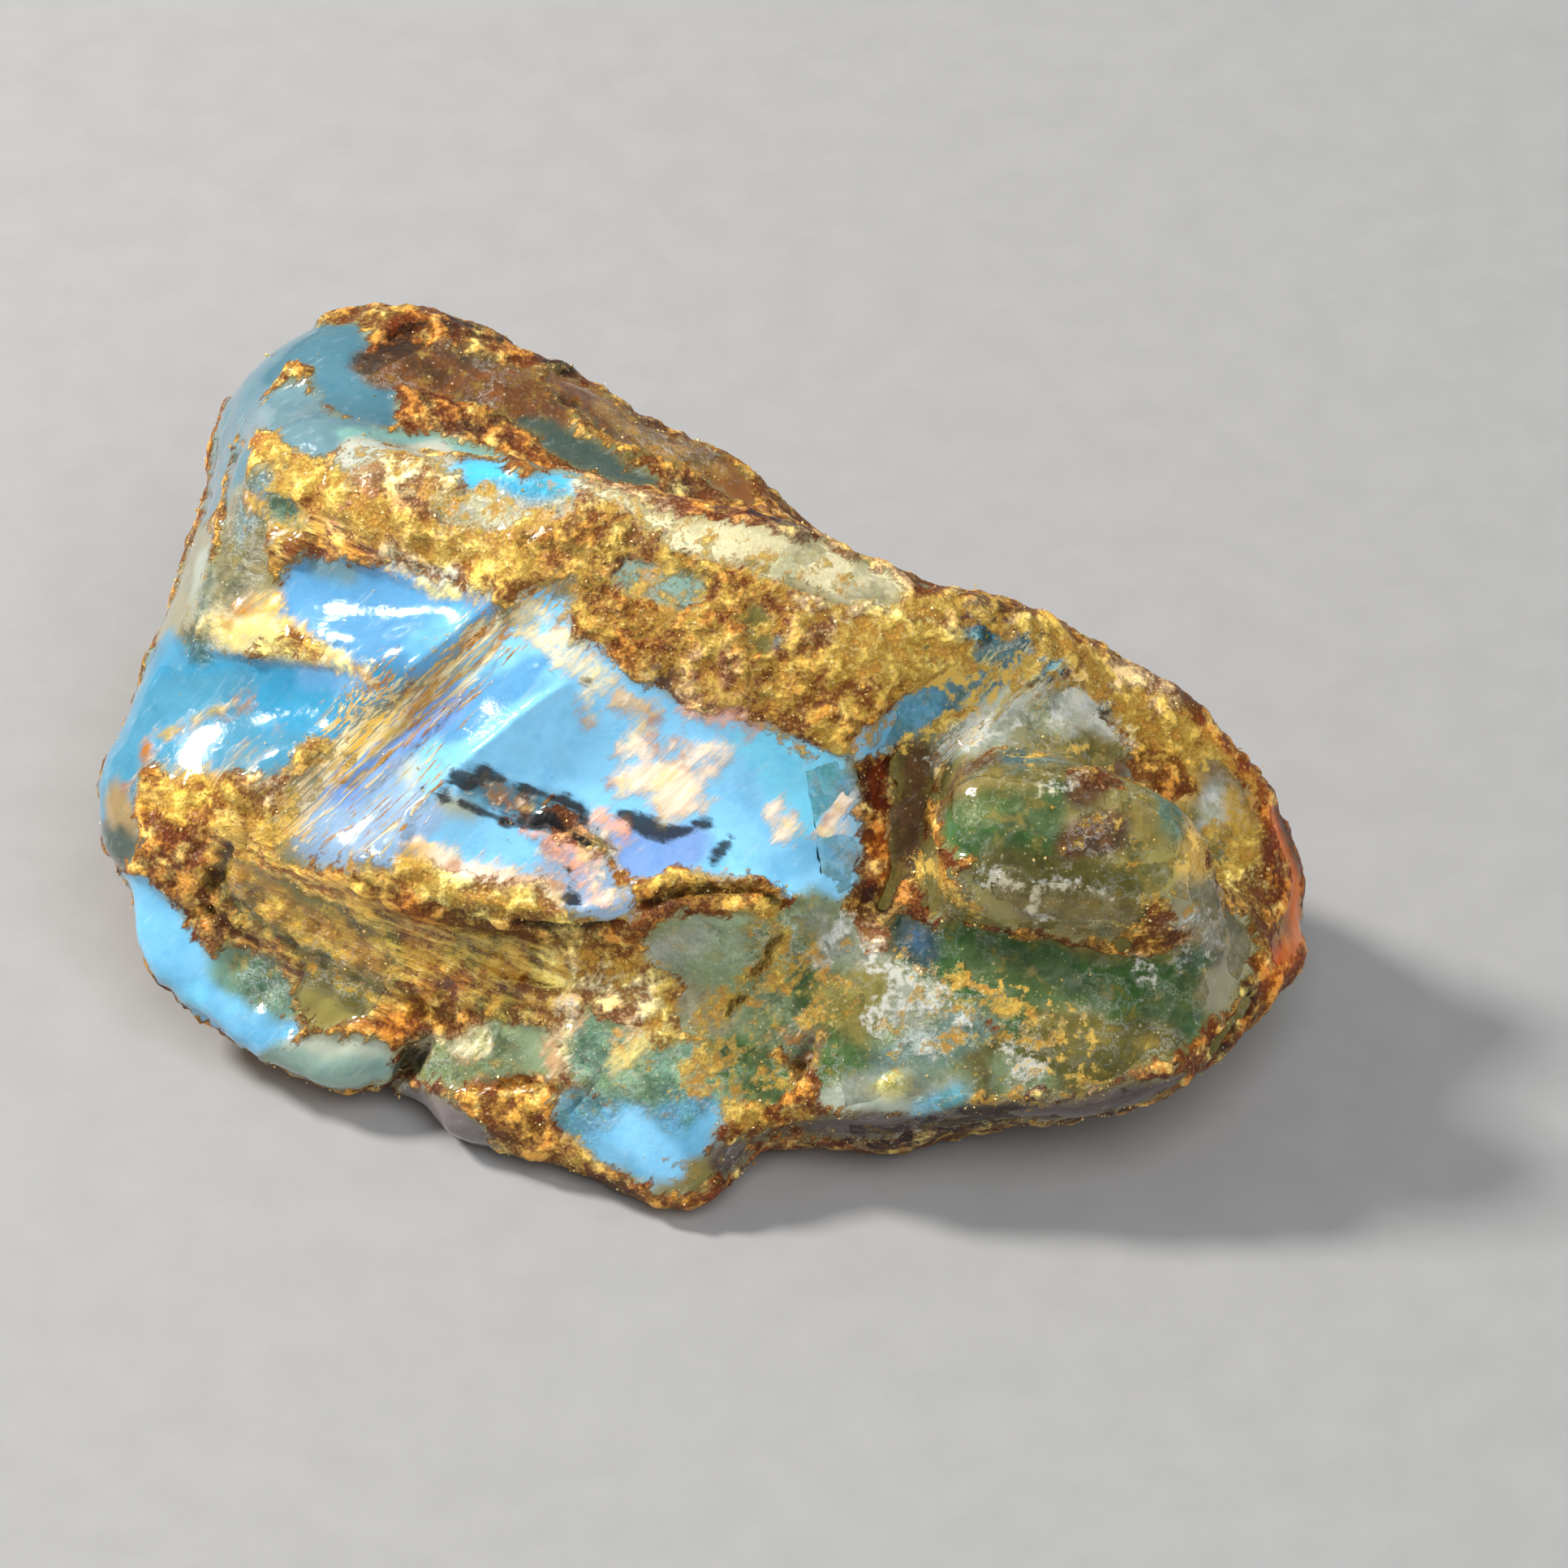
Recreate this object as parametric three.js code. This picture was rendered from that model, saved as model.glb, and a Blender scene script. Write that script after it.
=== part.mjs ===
// A rough nugget of blue amber: one natural piece, broken and river-worn, lying on a flattish broken face.
//
// Units are millimetres and +Z is up. +X runs along the nugget to its thin orange end, and +Y towards its high
// crusted shoulder. The origin is on the surface that it lies on, below the middle of its overall box.
//
// The form is four masses grown together: the main ridge, the shoulder behind it, the foot that it spreads out
// to in front, and the round knob at the thin end. Each is a convex block between corners, with worn edges.
// Strokes then press in the folds, scoops and hollows, or raise the bands and lips between them. The surface of
// that form is found as an even net of triangles, and is cut off flat where the nugget lies.
import * as THREE from "three";
import { ConvexHull } from "three/addons/math/ConvexHull.js";
import { ImprovedNoise } from "three/addons/math/ImprovedNoise.js";

const LENGTH = 56; // overall, along X
const WIDTH = 39; // overall, along Y
const HEIGHT = 26; // overall, along Z
const JOIN = 1.2; // how softly the masses run into each other
const SWELL = 0.9; // of a block whose edges are worn, in parts of the wear
const UNEVENNESS = { size: 6, rise: 0.45 }; // of the whole surface
const CELL = 1.22; // of the net that is laid over the form
const MARGIN = 2; // of the net's grid around the overall box
const EVENING_ROUNDS = 3; // in which the net is evened out
const SNAP = 0.08; // how near to the resting face a point is moved onto it

const point = (x, y, z) => new THREE.Vector3(x, y, z);

// The masses. The corners run along the top first, then around the sides, then below, and wear is how far the
// edges between them are rounded.
const MASSES = [
  {
    name: "main ridge",
    wear: 0.9,
    corners: [
      [-21.8, 12.2, 20.6],
      [-17.9, 7.4, 25.4],
      [-14.4, 6.2, 26.8],
      [-9, 4.1, 27.3],
      [-5.1, 1.7, 27.3],
      [0, -0.1, 27],
      [6.2, -0.7, 26.4],
      [12.7, -1.2, 23.2],
      [16.8, -1.5, 21.5],
      [20.9, -0.7, 19.7],
      [25.8, -1.4, 15.2],
      [28.3, -1.9, 12],
      [29.2, -3, 8.9],
      [29.4, -7, 6.6],
      [29.2, -8.8, 5.4],
      [-22.6, 9.8, 16.6],
      [-24.6, 6.2, 13.6],
      [-27.7, 1.5, 11.1],
      [-29.7, -1.5, 9.5],
      [-29.4, -4.5, 7.7],
      [-18, -9.2, 12.8],
      [-11.3, -12.4, 11.6],
      [-3.4, -13.4, 12.2],
      [4.3, -12.6, 13.2],
      [-17.5, -4.5, 3],
      [0, -7.4, 3],
      [22.6, -9.4, 3.2],
      [25, 1.5, 4.2],
      [15, 7, 7],
      [10.3, 3.5, 20.3],
      [-20.6, 11.4, 6.1],
    ],
  },
  {
    name: "shoulder",
    wear: 1,
    corners: [
      [-16, 18.6, 23.1],
      [-21.6, 17.8, 21],
      [-24.1, 14.7, 18.6],
      [-23, 10, 16.4],
      [-12.3, 18.6, 23.3],
      [-8.7, 17.3, 22.9],
      [-6.8, 16.9, 21.7],
      [-4, 15.5, 19.8],
      [-0.5, 15.7, 17.7],
      [3.3, 14.3, 15.5],
      [9, 10.1, 12.6],
      [-17.5, 8.4, 24.7],
      [-9.3, 7.4, 21.8],
      [0, 4.5, 19.3],
      [9.3, 1.5, 17.2],
      [-23.6, 14.4, 10.1],
      [-14.4, 21.3, 12.2],
      [-3.1, 18.3, 9.1],
      [5.1, 13.4, 6.1],
      [-17.5, 13.4, -1],
      [-4.1, 12.4, -1],
      [8.2, 5.5, -1],
      [-20.6, 1.5, 6.1],
    ],
  },
  {
    name: "foot",
    wear: 0.7,
    corners: [
      [-27.5, -6.5, 5.5],
      [-26.1, -8.8, 4.5],
      [-23.8, -9.6, 3.6],
      [-20.4, -11.1, 3.3],
      [-16.8, -12.9, 2.4],
      [-13.2, -15.7, 1.6],
      [-10.1, -18, 0.8],
      [-6.9, -19.3, 0.6],
      [-3.1, -19.9, 0.4],
      [0.4, -20.6, 0.4],
      [2.3, -19.9, 1.8],
      [5.7, -18.5, 4.4],
      [9.3, -18.5, 5.3],
      [16, -18.6, 5.5],
      [22.2, -17.2, 5.6],
      [23, -15.2, 6.6],
      [26.4, -11.9, 6.6],
      [28.4, -9.2, 6.3],
      [-22.6, -6.4, 10.1],
      [-11.3, -9.9, 10.7],
      [-3.4, -11.2, 11.6],
      [4.1, -10.4, 12.4],
      [10.3, -11.4, 12.8],
      [20.6, -10.4, 13.2],
      [9, -17.9, 7.1],
      [20.6, -17.5, 8.1],
      [-18.5, -6.4, -1],
      [-4.1, -16.4, -1],
      [2.1, -16.8, -1],
      [15.4, -9.4, -1],
      [19.5, -0.5, -1],
      [8.2, 8.4, -1],
      [-14.4, 12.4, -1],
      [-19.5, 4.5, -1],
    ],
  },
  {
    name: "knob",
    wear: 2,
    corners: [
      [9.8, -8.4, 18.3],
      [11.3, -5.5, 20.9],
      [17.5, -7, 20.9],
      [24.5, -7, 16.4],
      [27.5, -9, 11.2],
      [25.2, -14.4, 11.2],
      [17.5, -16.4, 14.2],
      [9.8, -13.9, 14.2],
      [11.3, -12.9, 8.1],
      [22.6, -12.4, 8.1],
    ],
  },
];

// The strokes along paths near the surface: pressed in by depth, or raised where it is negative. width is the
// distance from the path at which a stroke is down to about a third.
const STROKES = [
  {
    name: "valley behind the ridge",
    width: 2.6,
    depth: 2.6,
    path: [[-12.3, 8.9, 25.4], [-7.2, 7.9, 24.3], [-2.1, 5.5, 22.8], [5.1, 3.5, 21.8], [10.3, 3, 20.3]],
  },
  {
    name: "bump on the far edge",
    width: 1.7,
    depth: -0.7,
    path: [[0.6, 11.4, 18.9], [2, 10.6, 18.3]],
  },
  {
    name: "worn edge over the tip",
    width: 2.6,
    depth: 0.5,
    path: [[12.2, -0.4, 22.5], [15.6, -0.4, 20.9], [20.4, -1.2, 17.8]],
  },
  {
    name: "worn left flank",
    width: 2.6,
    depth: 0.75,
    path: [[-23.4, 8.4, 18.6], [-25.2, 5.2, 15.8], [-27, 2, 12.6]],
  },
  {
    name: "golden band",
    width: 1.4,
    depth: -0.8,
    path: [[-8.2, -1, 23.8], [-14.4, -3, 19.3], [-21.1, -5, 14.2]],
  },
  {
    name: "crust band",
    width: 1.7,
    depth: -0.6,
    path: [[-21.1, 7.4, 22.3], [-15.4, 3, 23.3], [-6.2, -0.5, 24.3]],
  },
  {
    name: "upper scoop",
    width: 2.4,
    depth: 1.5,
    path: [[-18, 1.5, 20.3], [-12.3, -1, 21.8]],
  },
  {
    name: "yellow strip",
    width: 1.1,
    depth: -0.5,
    path: [[-21.6, 1.5, 17.7], [-17.5, -0.5, 18.3], [-12.8, -3, 19.8]],
  },
  {
    name: "lower scoop",
    width: 2.1,
    depth: 1,
    path: [[-25.2, 0.5, 14.7], [-18, -3, 17.2]],
  },
  {
    name: "crest of the blue face",
    width: 1.3,
    depth: -0.8,
    path: [[-7.2, -5, 19.8], [-10.3, -6.9, 16.7], [-13.9, -8.9, 13.7]],
  },
  {
    name: "hollow left of the crest",
    width: 1.8,
    depth: 0.9,
    path: [[-9.8, -4, 20.3], [-13.4, -5.9, 16.7], [-17, -7.4, 14.2]],
  },
  {
    name: "hollow of the blue face",
    width: 4,
    depth: 1.1,
    path: [[-3.6, -7.9, 17.2], [3.6, -9.9, 15.7]],
  },
  {
    name: "crusted shelf",
    width: 3.2,
    depth: -0.9,
    path: [[-3.6, -2.5, 22.8], [1.5, -4.5, 21.3], [6.2, -5.9, 19.8]],
  },
  {
    name: "fold left of the knob",
    width: 1.5,
    depth: 2.6,
    path: [[9.8, -5.9, 18.3], [9, -7.9, 16.2], [8, -11.4, 12.7]],
  },
  {
    name: "fold over the knob",
    width: 1.5,
    depth: 0.5,
    path: [[9.8, -5.9, 18.8], [12.8, -5, 19.8], [16.4, -5, 19.4]],
  },
  {
    name: "round of the knob",
    width: 4.5,
    depth: -1.4,
    path: [[14, -11, 17], [19.5, -10.5, 15.5]],
  },
  {
    name: "fold under the knob",
    width: 1.3,
    depth: 0.8,
    path: [[8.2, -11.4, 12.7], [10.8, -12.7, 11.2], [20, -13.9, 10.6]],
  },
  {
    name: "edge of the step",
    width: 1.2,
    depth: -0.7,
    path: [[-18.5, -7.9, 13.7], [-11.3, -10.9, 11.7], [-3.6, -11.9, 12.5], [4.1, -11.7, 12.8]],
  },
  {
    name: "undercut of the step",
    width: 1.1,
    depth: 0.8,
    path: [[-18.5, -9.2, 11], [-11.3, -11.7, 9.3], [-3.6, -12.7, 10.1]],
  },
  {
    name: "wet hollow",
    width: 1.8,
    depth: 1.1,
    path: [[-24.2, -7.4, 8.1], [-20, -10.4, 5.9], [-14.9, -12.4, 5.1]],
  },
  {
    name: "blue lip",
    width: 1.5,
    depth: -0.6,
    path: [[-25.7, -8.4, 4.6], [-22.1, -10.9, 3], [-17, -12.9, 2.5]],
  },
  {
    name: "notch beside the lip",
    width: 1.4,
    depth: 1.6,
    path: [[-11.8, -12.9, 6.1], [-14.2, -14.4, 2]],
  },
  {
    name: "toe",
    width: 2.6,
    depth: -0.7,
    path: [[-4.1, -14.4, 6.1], [-1, -17.8, 2.5]],
  },
  {
    name: "hollow right of the toe",
    width: 2,
    depth: 1,
    path: [[3.1, -15.9, 7.1], [3.9, -18.6, 2.5]],
  },
  {
    name: "undercut of the lower shelf",
    width: 2.3,
    depth: 2.8,
    path: [[4.4, -18.4, 1], [8.4, -19.2, 1.9], [13.4, -18.4, 2.4]],
  },
  {
    name: "edge of the lower shelf",
    width: 1.3,
    depth: -0.6,
    path: [[5.1, -17.8, 5.6], [16.4, -17.8, 7.1], [22.1, -16.4, 8.1]],
  },
  {
    name: "scoop in the back",
    width: 5.5,
    depth: 1.8,
    path: [[-3.1, 18.8, 13.2], [4.1, 15.9, 10.1]],
  },
  {
    name: "cleft in the back",
    width: 1.8,
    depth: 1.6,
    path: [[-18.5, 16.8, 19.3], [-12.8, 20.8, 12.2], [-10.3, 19.8, 4.1]],
  },
  {
    name: "rib down the back",
    width: 1.8,
    depth: -0.9,
    path: [[8.2, 10.9, 14.2], [12.3, 8.9, 8.1], [13.4, 7.9, 2]],
  },
  {
    name: "hollow behind the tip",
    width: 3,
    depth: 1.2,
    path: [[19.5, 1.5, 12.2], [25.7, -1.5, 9.1]],
  },
  {
    name: "undercut of the tip",
    width: 2.2,
    depth: 1,
    path: [[16.4, 3, 3], [22.6, 0, 3.6], [25.4, -4, 3.2]],
  },
  {
    name: "hollow in the left end",
    width: 2.6,
    depth: 0.9,
    path: [[-26.2, 5.9, 9.1], [-24.2, 10.9, 9.1]],
  },
];

// The blocks' planes, found once.
const blocks = MASSES.map(({ wear, corners }) => ({
  wear,
  planes: new ConvexHull().setFromPoints(corners.map((c) => point(...c))).faces.map((face) => ({
    normal: face.normal.clone(),
    offset: face.constant,
  })),
}));

// Distance outside a block, with its edges worn: the largest of its planes' distances, blended where they meet.
function outsideBlock({ wear, planes }, p) {
  const distances = planes.map(({ normal, offset }) => normal.dot(p) - offset);
  const largest = Math.max(...distances);
  const sum = distances.reduce((total, d) => total + Math.exp((d - largest) / wear), 0);
  return largest + wear * (Math.log(sum) - SWELL);
}

// The smaller of two distances, blended where they are within JOIN of each other.
function joined(a, b) {
  const share = Math.max(0, 1 - Math.abs(a - b) / (2 * JOIN));
  return Math.min(a, b) - share * share * JOIN * 0.5;
}

const strokes = STROKES.map(({ width, depth, path }) => ({
  width,
  depth,
  stretches: path.slice(1).map((end, i) => new THREE.Line3(point(...path[i]), point(...end))),
}));
const nearest = new THREE.Vector3();

// How far a stroke presses the surface in at a point: all its depth on its path, and less to either side.
function pressed({ width, depth, stretches }, p) {
  const distances = stretches.map((stretch) => stretch.closestPointToPoint(p, true, nearest).distanceTo(p));
  return depth * Math.exp(-((Math.min(...distances) / width) ** 2));
}

const noise = new ImprovedNoise();

// Distance outside the nugget: negative inside it.
function outside(p) {
  let d = blocks.map((block) => outsideBlock(block, p)).reduce(joined);
  for (const stroke of strokes) d += pressed(stroke, p);
  d += UNEVENNESS.rise * noise.noise(p.x / UNEVENNESS.size, p.y / UNEVENNESS.size, p.z / UNEVENNESS.size);
  return Math.max(d, -p.z);
}

// The way straight out of the nugget at a point.
function outwards(p) {
  const step = 0.05;
  const along = (x, y, z) => outside(point(p.x + x, p.y + y, p.z + z));
  return point(
    along(step, 0, 0) - along(-step, 0, 0),
    along(0, step, 0) - along(0, -step, 0),
    along(0, 0, step) - along(0, 0, -step),
  ).divideScalar(2 * step);
}

// Moves a point that is near the surface onto it.
function settle(p) {
  for (let i = 0; i < 4; i++) {
    const slope = outwards(p);
    p.addScaledVector(slope, -outside(p) / Math.max(slope.lengthSq(), 0.1));
  }
  if (Math.abs(p.z) < SNAP) p.z = 0;
  return p;
}

// The corners of the grid that the net is found on, with the distance outside the nugget at each.
function gridOverForm() {
  const low = point(-LENGTH / 2 - MARGIN, -WIDTH / 2 - MARGIN, -1.5 * CELL);
  const columns = Math.ceil((LENGTH + 2 * MARGIN) / CELL) + 1;
  const rows = Math.ceil((WIDTH + 2 * MARGIN) / CELL) + 1;
  const layers = Math.ceil((HEIGHT + 2 * MARGIN) / CELL) + 1;
  const corners = [];
  for (let k = 0; k < layers; k++) {
    for (let j = 0; j < rows; j++) {
      for (let i = 0; i < columns; i++) corners.push(point(i, j, k).multiplyScalar(CELL).add(low));
    }
  }
  return {
    corners,
    distances: corners.map(outside),
    steps: [1, columns, columns * rows], // from a corner to the next one along each axis
  };
}

// The surface as a net: a point in each cell of the grid that it passes through, joined to the points of the
// cells beside it.
function netOverForm() {
  const { corners, distances, steps } = gridOverForm();
  const crosses = (a, b) => distances[a] < 0 !== distances[b] < 0;
  const places = [];
  const pointOfCell = new Map();

  // A cell's point starts in the middle of where the surface crosses the cell's edges.
  const netPoint = (cell) => {
    if (pointOfCell.has(cell)) return pointOfCell.get(cell);
    const middle = point(0, 0, 0);
    let crossings = 0;
    for (let bits = 0; bits < 8; bits++) {
      const a = steps.reduce((corner, step, axis) => corner + ((bits >> axis) & 1) * step, cell);
      steps.forEach((step, axis) => {
        const b = a + step;
        if ((bits >> axis) & 1 || !crosses(a, b)) return;
        middle.add(corners[a].clone().lerp(corners[b], distances[a] / (distances[a] - distances[b])));
        crossings++;
      });
    }
    pointOfCell.set(cell, places.length / 3);
    places.push(...settle(middle.divideScalar(crossings)).toArray());
    return pointOfCell.get(cell);
  };

  // Around each edge of the grid that the surface crosses lie four cells, whose points make two triangles.
  const triangles = [];
  corners.forEach((_, a) => {
    steps.forEach((step, axis) => {
      if (a + step >= corners.length || !crosses(a, a + step)) return;
      const u = steps[(axis + 1) % 3];
      const v = steps[(axis + 2) % 3];
      const round = [a - u - v, a - v, a, a - u].map(netPoint);
      if (distances[a] > 0) round.reverse();
      triangles.push(round[0], round[1], round[2], round[0], round[2], round[3]);
    });
  });

  const geometry = new THREE.BufferGeometry();
  geometry.setAttribute("position", new THREE.Float32BufferAttribute(places, 3));
  geometry.setIndex(triangles);
  return geometry;
}

// Evens the net out: each point moves towards the middle of its neighbours and settles back onto the surface.
function evened(geometry) {
  const places = geometry.getAttribute("position");
  const corners = geometry.getIndex().array;
  const beside = Array.from({ length: places.count }, () => new Set());
  for (let i = 0; i < corners.length; i += 3) {
    const triangle = [corners[i], corners[i + 1], corners[i + 2]];
    triangle.forEach((corner) => triangle.forEach((other) => beside[corner].add(other)));
  }
  for (let round = 0; round < EVENING_ROUNDS; round++) {
    const before = beside.map((_, i) => new THREE.Vector3().fromBufferAttribute(places, i));
    beside.forEach((others, i) => {
      const middle = point(0, 0, 0);
      for (const other of others) middle.add(before[other]);
      middle.divideScalar(others.size);
      if (before[i].z === 0) middle.z = 0;
      places.setXYZ(i, ...settle(middle.lerp(before[i], 0.5)).toArray());
    });
  }
  return geometry;
}

// Fits the net exactly to the overall size, with the origin below its middle.
function fitted(geometry) {
  geometry.computeBoundingBox();
  const size = geometry.boundingBox.getSize(point(0, 0, 0));
  const middle = geometry.boundingBox.getCenter(point(0, 0, 0));
  geometry.translate(-middle.x, -middle.y, 0);
  geometry.scale(LENGTH / size.x, WIDTH / size.y, HEIGHT / size.z);
  geometry.computeVertexNormals();
  return geometry;
}

const amber = new THREE.MeshStandardMaterial({ color: 0x6f93a0, roughness: 0.25, metalness: 0 });
const nugget = new THREE.Mesh(fitted(evened(netOverForm())), amber);
nugget.name = "amber_nugget";

const specimen = new THREE.Group();
specimen.add(nugget);

export default specimen;
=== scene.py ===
"""A rough nugget of blue amber: golden weathering crust, sky-blue windows and a clear knob.

Lengths in the lists are millimetres in the part's own frame: X runs along the nugget, Y to its
back, Z up from the surface that it rests on. Blender's own lengths are metres.
"""

import math

import bpy
import numpy as np
from bpy.props import FloatProperty, FloatVectorProperty, IntProperty, PointerProperty
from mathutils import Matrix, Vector, noise
from mathutils.bvhtree import BVHTree


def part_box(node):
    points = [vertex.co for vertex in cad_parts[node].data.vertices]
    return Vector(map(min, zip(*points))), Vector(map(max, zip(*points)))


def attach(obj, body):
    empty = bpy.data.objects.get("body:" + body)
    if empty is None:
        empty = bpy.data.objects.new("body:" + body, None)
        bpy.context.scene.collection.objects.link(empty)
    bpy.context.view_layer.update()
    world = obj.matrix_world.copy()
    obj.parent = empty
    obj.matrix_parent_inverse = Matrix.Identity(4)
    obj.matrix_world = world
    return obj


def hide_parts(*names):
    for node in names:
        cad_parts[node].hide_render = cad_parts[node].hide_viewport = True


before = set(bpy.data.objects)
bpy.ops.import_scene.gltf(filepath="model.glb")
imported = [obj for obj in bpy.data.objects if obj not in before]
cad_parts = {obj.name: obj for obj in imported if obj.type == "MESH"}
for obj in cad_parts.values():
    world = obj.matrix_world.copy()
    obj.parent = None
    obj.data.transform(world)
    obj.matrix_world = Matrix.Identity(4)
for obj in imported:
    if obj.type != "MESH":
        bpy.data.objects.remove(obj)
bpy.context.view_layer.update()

bl_info = {
    "name": "Blue Amber Nugget",
    "version": (1, 0, 0),
    "blender": (4, 5, 0),
    "location": "3D View > Sidebar > Amber",
    "description": "Builds a rough blue amber nugget, its dust, its inclusions and a plain stage",
    "category": "Add Mesh",
}

NODE = "amber_nugget"
BODY = "root"
MM = 0.001
SEED = 7

# What each colour of the stone is called, as linear red, green and blue.
COLOURS = {
    "sky": (0.27, 0.68, 1.00),
    "deep": (0.04, 0.31, 0.52),
    "azure": (0.11, 0.35, 0.62),
    "cyan": (0.22, 0.74, 1.00),
    "pool": (0.08, 0.55, 0.88),
    "haze": (0.14, 0.26, 0.30),
    "dusk": (0.07, 0.20, 0.26),
    "aqua": (0.22, 0.45, 0.40),
    "sea": (0.07, 0.29, 0.44),
    "jade": (0.16, 0.30, 0.22),
    "sage": (0.28, 0.36, 0.19),
    "fern": (0.10, 0.20, 0.05),
    "slate": (0.10, 0.19, 0.20),
    "steel": (0.24, 0.36, 0.30),
    "navy": (0.05, 0.12, 0.20),
    "teal": (0.06, 0.09, 0.07),
    "lagoon": (0.17, 0.50, 0.76),
    "forest": (0.06, 0.15, 0.03),
    "abyss": (0.03, 0.06, 0.045),
    "ember": (0.17, 0.025, 0.003),
    "soil": (0.030, 0.016, 0.010),
    "garnet": (0.09, 0.013, 0.003),
    "dusky": (0.075, 0.045, 0.04),
    "lilac": (0.20, 0.37, 0.74),
    "milk": (0.30, 0.46, 0.66),
    "mist": (0.42, 0.46, 0.36),
    "fawn": (0.30, 0.27, 0.15),
    "cream": (0.90, 0.80, 0.48),
    "lemon": (0.92, 0.80, 0.28),
    "gold": (0.80, 0.48, 0.07),
    "honey": (0.48, 0.24, 0.04),
    "olive": (0.27, 0.22, 0.05),
    "moss": (0.16, 0.14, 0.025),
    "umber": (0.16, 0.07, 0.02),
    "amber": (0.95, 0.58, 0.12),
    "sienna": (0.26, 0.085, 0.008),
    "pearl": (0.62, 0.62, 0.50),
    "mint": (0.27, 0.47, 0.33),
    "straw": (0.38, 0.32, 0.08),
    "russet": (0.42, 0.17, 0.03),
    "flame": (0.62, 0.22, 0.015),
    "canary": (1.00, 0.92, 0.30),
    "rust": (0.40, 0.12, 0.012),
    "bone": (0.70, 0.52, 0.32),
    "mauve": (0.20, 0.12, 0.10),
    "lilacgrey": (0.17, 0.14, 0.14),
    "chalk": (0.85, 0.88, 0.80),
    "tan": (0.40, 0.27, 0.12),
    "ochre": (0.72, 0.42, 0.10),
    "peach": (1.00, 0.80, 0.60),
    "salmon": (0.92, 0.46, 0.32),
}

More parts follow.
